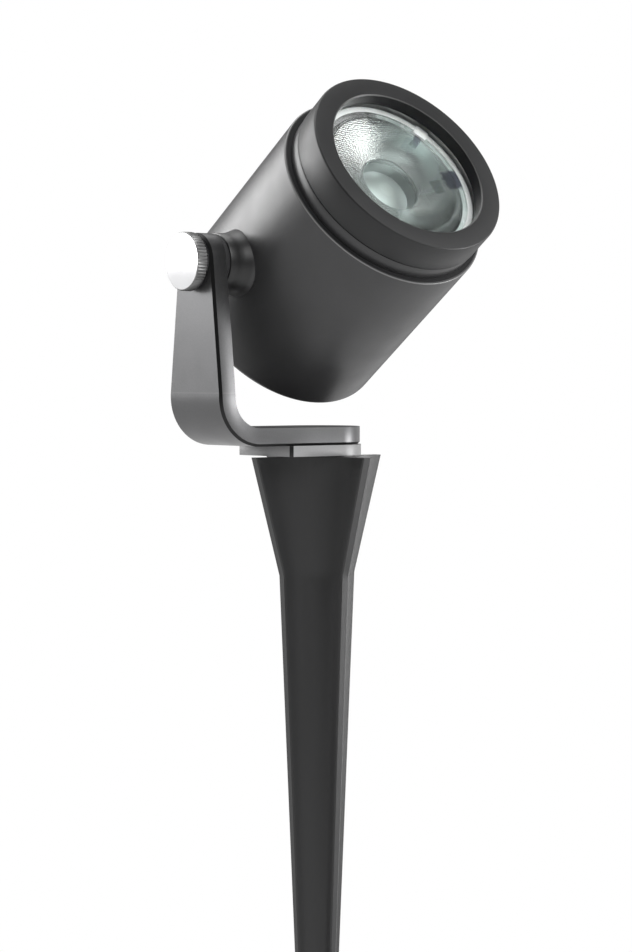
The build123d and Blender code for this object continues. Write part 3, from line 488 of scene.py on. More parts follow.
@dataclass(frozen=True)
class PebbledOptic(Finish):
    """Clear moulded optic: dished front with pillow lenslets, mirror-like side; its front carries a
    painted sheen, painted shade in the well and painted reflections.
    """

    head: "Head"
    dish: tuple["Corner", "Corner"]
    painted_reflections: tuple[PaintedReflection, ...]
    lenslet: float = 0.65
    lenslet_scatter: float = 0.5
    lenslet_depth: float = 0.10
    side_colour: Colour = (0.92, 0.95, 0.945)
    core_painted_shade: Colour = (0.60, 0.65, 0.64)
    wall_painted_shade: Colour = (0.36, 0.41, 0.405)
    painted_sheen_colour: Colour = (1.0, 1.0, 1.0)
    painted_sheen_side: Point = (-0.8, 0.35)
    painted_sheen_span: Point = (2.0, 8.0)
    painted_sheen_ragged: float = 12.0
    painted_sheen_mirror: float = 0.75
    skin: float = 0.05
    ring_fade: Point = (0.6, 0.4)
    side_depth: float = 0.5
    side_gap: float = 0.02
    rim_depth: float = 1.5
    wall_width: float = 1.1
    well_frost: float = 0.22
    frost_fade: Point = (0.6, 0.2)
    ior: float = 1.49

    clear = True
    RAGGED_MM = 0.45
    PATCH_RAGGED_MM = 1.1
    PATCH_RAGGED = 0.7
    PATCH_EDGE = (0.85, 1.1)
    FLOW_MM = 6.0
    ROUGHNESS = (0.13, 0.03)

    def painted_sheen_zone(self, g: Graph, x: Value, y: Value, flat: Value) -> Value:
        """Where the front's painted sheen lies, with an edge that breaks up lenslet by lenslet."""
        low, high = self.painted_sheen_span
        ragged = (g.noise(flat, self.RAGGED_MM, 1.0) - 0.5) * (self.painted_sheen_ragged * MM)
        along = x * self.painted_sheen_side[0] + y * self.painted_sheen_side[1] + ragged
        return g.ramp(along, low * MM, high * MM)

    def patch_mask(self, g: Graph, flat: Value, patch: PaintedReflection) -> Value:
        """Where one patch shows, in whole lenslets with a ragged edge."""
        places = {
            "Vector": flat,
            "Location": (patch.x * MM, patch.y * MM, 0.0),
            "Rotation": (0.0, 0.0, math.radians(patch.degrees)),
        }
        turned = g.node("ShaderNodeMapping", {"vector_type": "TEXTURE"}, places)
        blocks = g.vector("SNAP", turned, (self.lenslet * MM / 2,) * 3)
        ragged = (g.noise(blocks, self.PATCH_RAGGED_MM, 1.0) - 0.5) * self.PATCH_RAGGED
        x, y, _ = g.parts(blocks)
        far = (x.size() / (patch.half_x * MM)).at_least(y.size() / (patch.half_y * MM))
        return g.ramp(far + ragged, *self.PATCH_EDGE, patch.depth, 0.0)

    def sockets(self, g: Graph) -> dict[str, object]:
        """The shader's sockets."""
        place = g.head_place(self.head)
        x, y, z = g.parts(place)
        radius = (x * x + y * y).root()
        flat = g.node("ShaderNodeCombineXYZ", inputs={"X": x, "Y": y})
        inner, outer = self.dish
        slope = (outer.height - inner.height) / (outer.radius - inner.radius)
        level = inner.height * MM + (radius - inner.radius * MM) * slope
        above = z - level.at_most(outer.height * MM)
        front = above > -self.skin * MM
        pillow = g.cells(flat, self.lenslet, self.lenslet_scatter)
        start, end = self.ring_fade
        ring = g.ramp(radius, inner.radius * MM, (inner.radius + start) * MM)
        ring = ring * g.ramp(radius, (outer.radius - end) * MM, outer.radius * MM, 1.0, 0.0)
        below = (above < -self.side_depth * MM) * (z < (outer.height - self.rim_depth) * MM)
        side = below * (radius > (inner.radius + self.side_gap) * MM)
        core = below * (1 - side)
        wall = core * (radius > (inner.radius - self.wall_width) * MM)
        before, after = self.frost_fade
        low, high = (inner.radius - before) * MM, (inner.radius + after) * MM
        frost = g.ramp(radius, low, high, self.well_frost, 0.0)
        # painted sheen: one side of the front white and mirror-like
        bright = self.painted_sheen_zone(g, x, y, flat) * (radius > inner.radius * MM)
        tint = g.blend(bright, self.colour, self.painted_sheen_colour)
        # painted shade: the well's inside darker, its wall darker still
        tint = g.blend(core, g.blend(side, tint, self.side_colour), self.core_painted_shade)
        tint = g.blend(wall, tint, self.wall_painted_shade)
        # painted reflections: dark patches, and one white painted highlight
        for patch in self.painted_reflections:
            tint = g.blend(self.patch_mask(g, flat, patch) * front, tint, patch.colour)
        height = (1 - pillow * pillow) * ring * front
        return {
            "Base Color": tint,
            "Roughness": g.vary(g.noise(place, self.FLOW_MM, 2.0), *self.ROUGHNESS) + frost,
            "Metallic": side + bright * front * self.painted_sheen_mirror,
            "Transmission Weight": 1.0,
            "IOR": self.ior,
            "Normal": g.bump(height, self.lenslet_depth),
        }


@dataclass(frozen=True)
class CircuitBoard(Finish):
    """Solder-masked board with faint copper areas under the mask."""

    copper: Colour
    roughness: float = 0.4

    TRACK_MM = 3.2
    TRACK_EDGE = 0.42
    MASK_DEPTH = 0.03

    def sockets(self, g: Graph) -> dict[str, object]:
        """The shader's sockets."""
        place = g.object_place()
        tracks = g.cells(place, self.TRACK_MM) > self.TRACK_EDGE
        grain = g.noise(place, 0.3, 2.0)
        shiny, dull = self.roughness - 0.05, self.roughness + 0.08
        return {
            "Base Color": g.blend(tracks, self.colour, self.copper),
            "Roughness": g.ramp(grain, NOISE_LOW, NOISE_HIGH, shiny, dull),
            "Normal": g.bump(tracks, self.MASK_DEPTH),
        }


@dataclass(frozen=True)
class Phosphor(Finish):
    """Emitter: yellow phosphor dot on a pale ceramic base."""

    base: Colour
    head: "Head"
    dot_radius: float

    def sockets(self, g: Graph) -> dict[str, object]:
        """The shader's sockets."""
        place = g.head_place(self.head)
        x, y, _ = g.parts(place)
        grain = g.noise(place, 0.15, 2.0)
        outside = (x * x + y * y).root() > self.dot_radius * MM
        return {
            "Base Color": g.blend(outside, self.colour, self.base),
            "Roughness": g.vary(grain, 0.5, 0.1),
            "Normal": g.bump(grain, 0.02),
        }


BRASS = BareMetal("brass", (0.78, 0.57, 0.27), 0.28)
SCREW_STEEL = BareMetal("small screws", (0.55, 0.55, 0.56), 0.28)


# --------------------------------------------------------------------------- shapes
def add_object(name: str, data: bpy.types.ID) -> bpy.types.Object:
    """Adds an object to the scene."""
    made = bpy.data.objects.new(name, data)
    bpy.context.scene.collection.objects.link(made)
    return made


def mesh_object(name: str, bm: BMesh) -> bpy.types.Object:
    """Adds an object with a BMesh's mesh; the BMesh is used up."""
    mesh = bpy.data.meshes.new(name)
    bm.to_mesh(mesh)
    bm.free()
    return add_object(name, mesh)


def of_kind(made: dict, key: str, kind: type) -> list:
    """The faces, edges or vertices that a BMesh operator made."""
    return [item for item in made[key] if isinstance(item, kind)]


def spin(
    bm: BMesh, geometry: list, centre: Place, angle: float, steps: int, merge: bool = False
) -> dict:
    """Spins vertices and edges about Z, and gives what the operator gave."""
    spun = {"cent": centre, "axis": (0, 0, 1), "angle": angle, "steps": steps, "use_merge": merge}
    return bmesh.ops.spin(bm, geom=geometry, **spun)


class Corner(NamedTuple):
    """One corner of a turned outline, in millimetres, and the width of its rounding."""

    radius: float
    height: float
    round: float = 0.0
    segments: int = 3


class Shape:
    """A mesh being made, in millimetres in its sub-assembly's own frame."""

    MERGE = 1e-4
    ON_PLANE = 1e-5
    ON_LEVEL = 1e-4
    ON_CIRCLE = 1e-3
    RIM_TILT = 0.3

    def __init__(self) -> None:
        """Starts empty."""
        self.bm = bmesh.new()

    def fill(self, edges: Iterable[BMEdge]) -> list[BMFace]:
        """Fills closed wires with a flat face, holes left open."""
        made = bmesh.ops.triangle_fill(self.bm, use_beauty=True, use_dissolve=False, edges=list(edges))
        return of_kind(made, "geom", BMFace)

    def raise_faces(self, faces: list[BMFace], height: float) -> None:
        """Extrudes faces along Z into a closed solid."""
        made = bmesh.ops.extrude_face_region(self.bm, geom=faces, use_keep_orig=True)
        bmesh.ops.translate(self.bm, verts=of_kind(made, "geom", BMVert), vec=(0, 0, height))
        self.clean()

    def turned(self, rows: Sequence[tuple], steps: int, closed: bool = False) -> "Shape":
        """Spins an outline about Z, then rounds its rims.

        Args:
            rows: the outline's corners; it starts and ends on the axis unless it is closed.
            steps: how many steps a full turn has.
            closed: True for a ring, whose last corner joins its first.

        Returns:
            This shape.
        """
        corners = [Corner(*row) for row in rows]
        verts = [self.bm.verts.new((c.radius, 0, c.height)) for c in corners]
        pairs = list(zip(verts, verts[1:]))
        if closed:
            pairs.append((verts[-1], verts[0]))
        edges = [self.bm.edges.new(pair) for pair in pairs]
        spin(self.bm, verts + edges, (0, 0, 0), FULL_TURN, steps, merge=True)
        self.clean()
        for corner in corners:
            if corner.round > 0:
                self.round_rim(corner)
        return self

    def round_rim(self, corner: Corner) -> None:
        """Bevels the circle of edges at one corner of a turned outline."""

        def on_it(vert: BMVert) -> bool:
            """True for a vertex on that circle."""
            away = abs(math.hypot(vert.co.x, vert.co.y) - corner.radius)
            return max(away, abs(vert.co.z - corner.height)) < self.ON_CIRCLE

        edges = [e for e in self.bm.edges if on_it(e.verts[0]) and on_it(e.verts[1])]
        self.bevel(edges, corner.round, corner.segments)

    def bevel(self, edges: list[BMEdge], width: float, segments: int = 1) -> None:
        """Bevels edges by a width."""
        fixed = {"offset_type": "OFFSET", "affect": "EDGES", "clamp_overlap": True, "material": -1}
        bmesh.ops.bevel(self.bm, geom=edges, offset=width, segments=segments, profile=0.5, **fixed)

    def at_level(self, item: BMEdge | BMFace, height: float) -> bool:
        """True for an edge or a face that lies at one height."""
        return all(abs(v.co.z - height) < self.ON_LEVEL for v in item.verts)

    def inset_top(self, height: float, width: float) -> list[BMFace]:
        """Draws the level faces at a height in and up by a width; gives the slope's faces."""
        bmesh.ops.recalc_face_normals(self.bm, faces=self.bm.faces)
        top = [f for f in self.bm.faces if self.at_level(f, height)]
        drawn = {"thickness": width, "depth": width, "use_even_offset": True, "use_boundary": True}
        return bmesh.ops.inset_region(self.bm, faces=top, **drawn)["faces"]

    def level_edges(self, height: float) -> list[BMEdge]:
        """Rim edges that lie at one height, between a level face and a wall."""
        found = []
        for edge in self.bm.edges:
            if self.at_level(edge, height) and len(edge.link_faces) == 2:
                first, second = (abs(face.normal.z) for face in edge.link_faces)
                if abs(first - second) > self.RIM_TILT:
                    found.append(edge)
        return found

    def clean(self) -> None:
        """Merges doubles and turns every face outwards."""
        bmesh.ops.remove_doubles(self.bm, verts=self.bm.verts, dist=self.MERGE)
        bmesh.ops.recalc_face_normals(self.bm, faces=self.bm.faces)

    def moved(self, place: Matrix) -> "Shape":
        """Transforms all of it."""
        bmesh.ops.transform(self.bm, matrix=place, verts=self.bm.verts)
        return self

    def joined(self, other: "Shape", operation: str = "UNION") -> None:
        """Combines it with another closed shape, which is used up.

        Args:
            other: the shape to add or to cut out.
            operation: UNION or DIFFERENCE.
        """
        made = [mesh_object("part", shape.bm) for shape in (self, other)]
        cut = made[0].modifiers.new("cut", "BOOLEAN")
        cut.operation = operation
        cut.solver = "EXACT"
        cut.object = made[1]
        graph = bpy.context.evaluated_depsgraph_get()
        result = bpy.data.meshes.new_from_object(made[0].evaluated_get(graph))
        self.bm = bmesh.new()
        self.bm.from_mesh(result)
        for mesh in [result, *(temporary.data for temporary in made)]:
            bpy.data.meshes.remove(mesh)

    def piece(
        self,
        name: str,
        place: Matrix,
        body: str,
        slot: str,
        finish: Finish,
        replaced: str,
        sharp: float = 30.0,
    ) -> None:
        """Finishes the shape as an object of the scene.

        Args:
            name: the object's name.
            place: matrix from this frame to the row frame, in millimetres.
            body: the CAD body it rides on.
            slot: the record's material slot; not used.
            finish: its finish.
            replaced: the CAD node that it stands for.
            sharp: edges that turn by more than this, in degrees, stay sharp.
        """
        self.moved(Matrix.Scale(MM, 4) @ place)
        made = mesh_object(name, self.bm)
        made.data.shade_smooth()
        made.data.set_sharp_from_angle(angle=math.radians(sharp))
        made.data.materials.append(material_of(finish))
        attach(made, body)
        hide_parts(replaced)
        log.info("%s: %d faces on %s", name, len(made.data.polygons), body)


class Pen:
    """Draws one closed wire of lines and arcs."""

    def __init__(self, bm: BMesh, start: Point, height: float = 0.0) -> None:
        """Sets the pen down in a mesh, at a first point and the wire's height."""
        self.bm = bm
        self.height = height
        self.first = bm.verts.new((*start, height))
        self.last = self.first
        self.edges: list[BMEdge] = []

    def line(self, *points: Point) -> None:
        """Draws straight lines to points in turn."""
        for point in points:
            vert = self.bm.verts.new((*point, self.height))
            self.edges.append(self.bm.edges.new((self.last, vert)))
            self.last = vert

    def arc(self, centre: Point, angle: float, steps: int) -> None:
        """Draws an arc about a centre, by an angle in radians."""
        before = set(self.bm.edges)
        made = spin(self.bm, [self.last], (*centre, self.height), angle, steps)
        self.edges += [edge for edge in self.bm.edges if edge not in before]
        self.last = of_kind(made, "geom_last", BMVert)[0]

    def close(self) -> list[BMEdge]:
        """Closes the wire and gives its edges."""
        if (self.last.co - self.first.co).length < Shape.MERGE:
            bmesh.ops.weld_verts(self.bm, targetmap={self.last: self.first})
        else:
            self.edges.append(self.bm.edges.new((self.last, self.first)))
        return [edge for edge in self.edges if edge.is_valid]


def circle(shape: Shape, radius: float, centre: Point, steps: int) -> list[BMEdge]:
    """Draws a full circle and gives its edges."""
    pen = Pen(shape.bm, (centre[0] + radius, centre[1]))
    pen.arc(centre, FULL_TURN, steps)
    return pen.close()


def dress(frame: dict, finishes: dict[str, Finish]) -> None:
    """Gives CAD nodes their finishes.

    Args:
        finishes: node names with their finishes.
    """
    for name, finish in finishes.items():
        for slot in frame["nodes"][name].material_slots:
            slot.link = "OBJECT"
            slot.material = material_of(finish)
        log.info("%s: dressed", name)


def band(
    inner: float, outer: float, low: float, high: float, rounding: float = 0.0, segments: int = 2
) -> list[Corner]:
    """Outline of a flat ring or disc whose outer corners are rounded."""
    outside = [Corner(outer, height, rounding, segments) for height in (low, high)]
    return [Corner(inner, low), *outside, Corner(inner, high)]


# --------------------------------------------------------------------------- pieces
@dataclass
class GroundSpike:
    """Four-finned plastic spike with a raised seat, and its brass insert."""

    length: float = 235.0
    top_reach: float = 22.2
    knee_reach: float = 12.6
    knee_depth: float = 33.0
    knee_blend: float = 3.0
    toe_reach: float = 3.2
    point_length: float = 11.0
    point_reach: float = 0.5
    point_round: float = 0.2
    top_thickness: float = 2.8
    toe_thickness: float = 1.8
    edge_break: float = 0.35
    top_valley: float = 17.2
    knee_valley: float = 9.3
    toe_valley_share: float = 0.6
    seat_radius: float = 11.2
    seat_height: float = 0.4
    seat_round: float = 0.15
    seat_overlap: float = 0.01
    pocket_radius: float = 5.5
    pocket_depth: float = 17.6
    pocket_over: float = 2.0
    valley_steps: int = 14
    upper_depths: tuple[float, ...] = (0.0, 12.0, 24.0)
    lower_depths: tuple[float, ...] = (60.0, 90.0, 120.0, 150.0, 180.0, 205.0)

    @property
    def toe(self) -> float:
        """Depth where the point begins."""
        return self.length - self.point_length

    def sizes(self, depth: float) -> tuple[float, float, float]:
        """Reach, thickness and valley radius at a depth below the top face."""
        thickness = self.top_thickness + (self.toe_thickness - self.top_thickness) * depth / self.length
        toe_valley = (self.toe_reach - self.toe_thickness / 2) * self.toe_valley_share
        if depth <= self.knee_depth:
            share = depth / self.knee_depth
            spans = (self.top_reach, self.knee_reach), (self.top_valley, self.knee_valley)
        else:
            share = (depth - self.knee_depth) / (self.toe - self.knee_depth)
            spans = (self.knee_reach, self.toe_reach), (self.knee_valley, toe_valley)
        reach, valley = (start + (end - start) * share for start, end in spans)
        return reach, thickness, min(valley, reach - thickness / 2 - 2 * self.edge_break)

    def section(self, shape: Shape, depth: float) -> list[BMEdge]:
        """Draws the fins' cross-section at a depth below the top face.

        Args:
            shape: the shape to draw in.
            depth: how deep, in millimetres.

        Returns:
            The closed wire's edges.
        """
        reach, thickness, valley = self.sizes(depth)
        half, lip = thickness / 2, self.edge_break
        pen = Pen(shape.bm, (reach, lip - half), -depth)
        for quarter in range(4):
            turn = Matrix.Rotation(quarter * math.pi / 2, 2)

            def at(x: float, y: float) -> Point:
                """A point of this quarter."""
                return tuple(turn @ Vector((x, y)))

            pen.line(at(reach, half - lip), at(reach - lip, half), at(half + valley, half))
            pen.arc(at(half + valley, half + valley), -math.pi / 2, self.valley_steps)
            pen.line(at(half, reach - lip))
            if quarter < 3:
                pen.line(at(half - lip, reach))
        return pen.close()

    def build(self, frame: dict) -> None:
        """Makes and dresses the spike and its insert."""
        shape = Shape()
        knee = [self.knee_depth + self.knee_blend * step for step in (-1.0, -0.5, 0.0, 0.5, 1.0)]
        depths = [*self.upper_depths, *knee, *self.lower_depths, self.toe]
        loops = [self.section(shape, depth) for depth in depths]
        for upper, lower in zip(loops, loops[1:]):
            bmesh.ops.bridge_loops(shape.bm, edges=upper + lower)
        shape.fill(loops[0])
        shape.fill(loops[-1])
        shape.clean()
        low, end = -self.toe, -self.length
        point = [(0, low), (self.toe_reach, low), (self.point_reach, end, self.point_round), (0, end)]
        wide, low, high = self.seat_radius, -self.seat_overlap, self.seat_height
        seat = [(0, low), (wide, low), (wide, high, self.seat_round), (0, high)]
        pocket = band(0, self.pocket_radius, high - self.pocket_depth, self.pocket_over)
        parts = ((point, 48, "UNION"), (seat, 96, "UNION"), (pocket, 64, "DIFFERENCE"))
        for rows, steps, operation in parts:
            shape.joined(Shape().turned(rows, steps), operation)
        plastic = MouldedPlastic("spike charcoal plastic", (0.015, 0.015, 0.0155), 0.40)
        shape.piece("spike_moulding", Matrix(), "spike", "spike_plastic", plastic, "spike")
        dress(frame, {"spike_insert": BRASS})


@dataclass
class Bracket:
    """Bent strap, foot plate and countersunk screw."""

    thickness: float = 5.0
    width: float = 23.8
    bend_inner: float = 8.4
    top_radius: float = 7.8
    outer_bevel: float = 0.7
    inner_bevel: float = 0.4
    arm_reach: float = 42.1
    leg_bottom: float = 3.4
    hole_radius: float = 3.05
    hole_margin: float = 0.1
    countersink: float = 2.6
    plate_bottom: float = 0.4
    plate_width: float = 24.5
    plate_tail: float = 18.6
    plate_bevel: float = 0.8
    plate_edge: float = 0.2
    cut_tilt: float = 0.6
    bend_cuts: int = 18

    def __post_init__(self) -> None:
        """Works out the bend: its centre, its middle line's radius and its length."""
        outer = self.bend_inner + self.thickness
        self.bend_x, self.bend_top = outer - self.arm_reach, self.leg_bottom + outer
        self.middle = self.bend_inner + self.thickness / 2
        self.bend_length = self.middle * math.pi / 2

    def bent(self, along: float, across: float, depth: float) -> Place:
        """Where a point of the flat blank comes to lie."""
        reach = self.bend_inner + depth
        if along <= 0:
            return (self.bend_x - along, across, self.bend_top - self.bend_inner - depth)
        if along >= self.bend_length:
            up = self.bend_top + along - self.bend_length
            return (self.bend_x - self.bend_inner - depth, across, up)
        angle = along / self.middle
        return (self.bend_x - reach * math.sin(angle), across, self.bend_top - reach * math.cos(angle))

    def strap(self, finish: Finish) -> None:
        """Cuts the flat blank, bevels it and bends it to an L."""
        half, axis = self.width / 2, self.bend_x
        taper = self.bend_length + self.outer_bevel
        pivot = self.bend_length + PIVOT_HEIGHT - self.bend_top
        rise = pivot - taper
        lean = math.acos(self.top_radius / math.hypot(half, rise)) - math.atan2(rise, half)
        touch = (pivot + self.top_radius * math.sin(lean), self.top_radius * math.cos(lean))
        shape = Shape()
        cut = shape.bm.faces.layers.float.new(SHADED_CHAMFER)
        pen = Pen(shape.bm, (axis, half))
        pen.arc((axis, 0), math.pi, 40)
        pen.line((taper, -half), (touch[0], -touch[1]))
        pen.arc((pivot, 0), math.pi - 2 * lean, 32)
        pen.line((taper, half))
        edges = pen.close()
        edges += circle(shape, self.hole_radius, (pivot, 0), 40)
        edges += circle(shape, self.hole_radius, (axis, 0), 48)
        top = self.thickness - self.outer_bevel
        shape.raise_faces(shape.fill(edges), top)

        def outside(edge: BMEdge) -> bool:
            """True for an edge of the blank's outline, not of a hole."""
            x, y, _ = edge.verts[0].co
            near = self.hole_radius + self.hole_margin
            return min(math.hypot(x - pivot, y), math.hypot(x - axis, y)) > near

        shape.bevel([e for e in shape.level_edges(0.0) if outside(e)], self.inner_bevel, 2)
        # the outer bevel's faces are marked for painted shade
        for face in shape.inset_top(top, self.outer_bevel):
            face[cut] = 1.0
        leg_hole = [e for e in shape.level_edges(0.0) if not outside(e) and e.verts[0].co.x < 0]
        shape.bevel(leg_hole, self.countersink)
        for step in range(self.bend_cuts + 1):
            geometry = [*shape.bm.verts, *shape.bm.edges, *shape.bm.faces]
            plane = {"plane_co": (self.bend_length * step / self.bend_cuts, 0, 0), "plane_no": (1, 0, 0)}
            bmesh.ops.bisect_plane(shape.bm, geom=geometry, dist=shape.ON_PLANE, **plane)
        for vert in shape.bm.verts:
            vert.co = self.bent(*vert.co)
        bmesh.ops.recalc_face_normals(shape.bm, faces=shape.bm.faces)
        shape.piece("strap_bar", Matrix(), "bracket", "strap_coat", finish, "strap_bracket")

    def plate(self, finish: Finish) -> None:
        """Makes the foot plate."""
        half, cut, tail = self.plate_width / 2, self.plate_bevel, -self.plate_tail
        shape = Shape()
        pen = Pen(shape.bm, (0, -half), self.plate_bottom)
        pen.arc((0, 0), math.pi, 48)
        pen.line((tail + cut, half), (tail, half - cut), (tail, cut - half), (tail + cut, -half))
        shape.raise_faces(shape.fill(pen.close()), self.leg_bottom - self.plate_bottom)
        # the tail's corner cuts are marked for painted shade
        mark = shape.bm.faces.layers.float.new(SHADED_CHAMFER)
        shape.bm.normal_update()
        for face in shape.bm.faces:
            face[mark] = float(face.normal.x < -self.cut_tilt and abs(face.normal.y) > self.cut_tilt)
        for height in (self.plate_bottom, self.leg_bottom):
            shape.bevel(shape.level_edges(height), self.plate_edge, 2)
        shape.piece("foot_plate_cast", Matrix(), "bracket", "strap_coat", finish, "foot_plate")

    def build(self, frame: dict) -> None:
        """Makes and dresses the bracket's pieces."""
        # in both coats below, the chamfer factor is painted shade on the marked chamfer faces
        bar = {"skin_depth": 0.003, "mottle": 0.03, "mark": (17.9, 0.25), "chamfer_shade": 0.25}
        self.strap(CoatedMetal("bracket grey coat", (0.10, 0.10, 0.102), 0.30, 0.85, **bar))
        cast = {"skin_depth": 0.006, "mottle": 0.04, "chamfer_shade": 0.05}
        self.plate(CoatedMetal("foot plate coat", (0.2, 0.2, 0.202), 0.38, 0.2, **cast))
        dress(frame, {"bracket_screw": BareMetal("stainless", (0.62, 0.62, 0.63), 0.25)})


@dataclass
class TiltKnob:
    """Polished thumb screw with a knurled rim, its washer and the friction washer."""

    radius: float = 7.95
    thickness: float = 3.35
    teeth: int = 56
    tooth_depth: float = 0.32
    bevel: float = 0.45
    face_round: float = 0.12
    smooth_rim: float = 0.2
    back: float = 42.95
    stud_radius: float = 3.0
    stud_end: float = 29.0
    stud_cut: float = 0.5
    washer_radius: float = 7.0
    washer_bore: float = 3.3
    washer_round: float = 0.12
    arm_outer: float = 42.1
    arm_inner: float = 37.1
    friction_radius: float = 7.6
    friction_thickness: float = 1.5
    friction_round: float = 0.15

    @property
    def place(self) -> Matrix:
        """From the knob's frame, axis outwards, to the row frame."""
        return Matrix.Translation((0, 0, PIVOT_HEIGHT)) @ Matrix.Rotation(-math.pi / 2, 4, "Y")

    def knob(self, finish: Finish) -> None:
        """Turns the knob with its stud and cuts the knurl."""
        front = self.back + self.thickness
        inner = self.radius - self.bevel
        outline = [
            (0, self.stud_end),
            (self.stud_radius - self.stud_cut, self.stud_end),
            (self.stud_radius, self.stud_end + self.stud_cut),
            (self.stud_radius, self.back),
            (inner, self.back),
            (self.radius, self.back + self.bevel),
            (self.radius, front - self.bevel),
            (inner, front, self.face_round, 2),
            (0, front),
        ]
        shape = Shape().turned(outline, 4 * self.teeth)
        step = FULL_TURN / self.teeth
        for vert in shape.bm.verts:
            reach = math.hypot(vert.co.x, vert.co.y)
            if reach > inner + self.smooth_rim:
                phase = (math.atan2(vert.co.y, vert.co.x) % step) / step
                scale = 1 - self.tooth_depth * (1 - abs(2 * phase - 1)) / reach
                vert.co.x *= scale
                vert.co.y *= scale
        shape.piece("knob_turned", self.place, "knob", "knob_metal", finish, "knob", 24.0)

    def build(self, frame: dict) -> None:
        """Makes and dresses the knob's pieces."""
        # knurled rim: its darker colour is painted shade of the valleys, its roughness is its own
        self.knob(BareMetal("knob polished", (0.76, 0.76, 0.77), 0.16, Lay.TURNED, (7.54, 0.22)))
        bore, inner = self.washer_bore, self.arm_inner
        ring = band(bore, self.washer_radius, self.arm_outer, self.back, self.washer_round)
        steel = BareMetal("washer steel", (0.12, 0.12, 0.125), 0.35)
        washer = Shape().turned(ring, 96, closed=True)
        washer.piece("knob_washer_ring", self.place, "knob_washer", "stainless", steel, "knob_washer")
        low = inner - self.friction_thickness
        ring = band(bore, self.friction_radius, low, inner, self.friction_round)
        rubber = Elastomer("black rubber", (0.018, 0.018, 0.019))
        disc = Shape().turned(ring, 96, closed=True)
        disc.piece("friction_ring", self.place, "head", "rubber", rubber, "friction_washer")


@dataclass(frozen=True)
class Head:
    """Frame that the head's sub-assemblies share: Z along the beam, tilt axis at 0."""

    offset: float = 1.9
    elevation: float = 35.3

    @property
    def turn(self) -> float:
        """Rotation about X from upright to the beam, in radians."""
        return math.radians(90 - self.elevation)

    @property
    def place(self) -> Matrix:
        """From the head's frame to the row frame."""
        lift = Matrix.Translation((self.offset, 0, PIVOT_HEIGHT))
        return lift @ Matrix.Rotation(self.turn, 4, "X")

    @property
    def origin(self) -> Place:
        """The head frame's origin in the row frame, in metres."""
        return (self.offset * MM, 0.0, PIVOT_HEIGHT * MM)


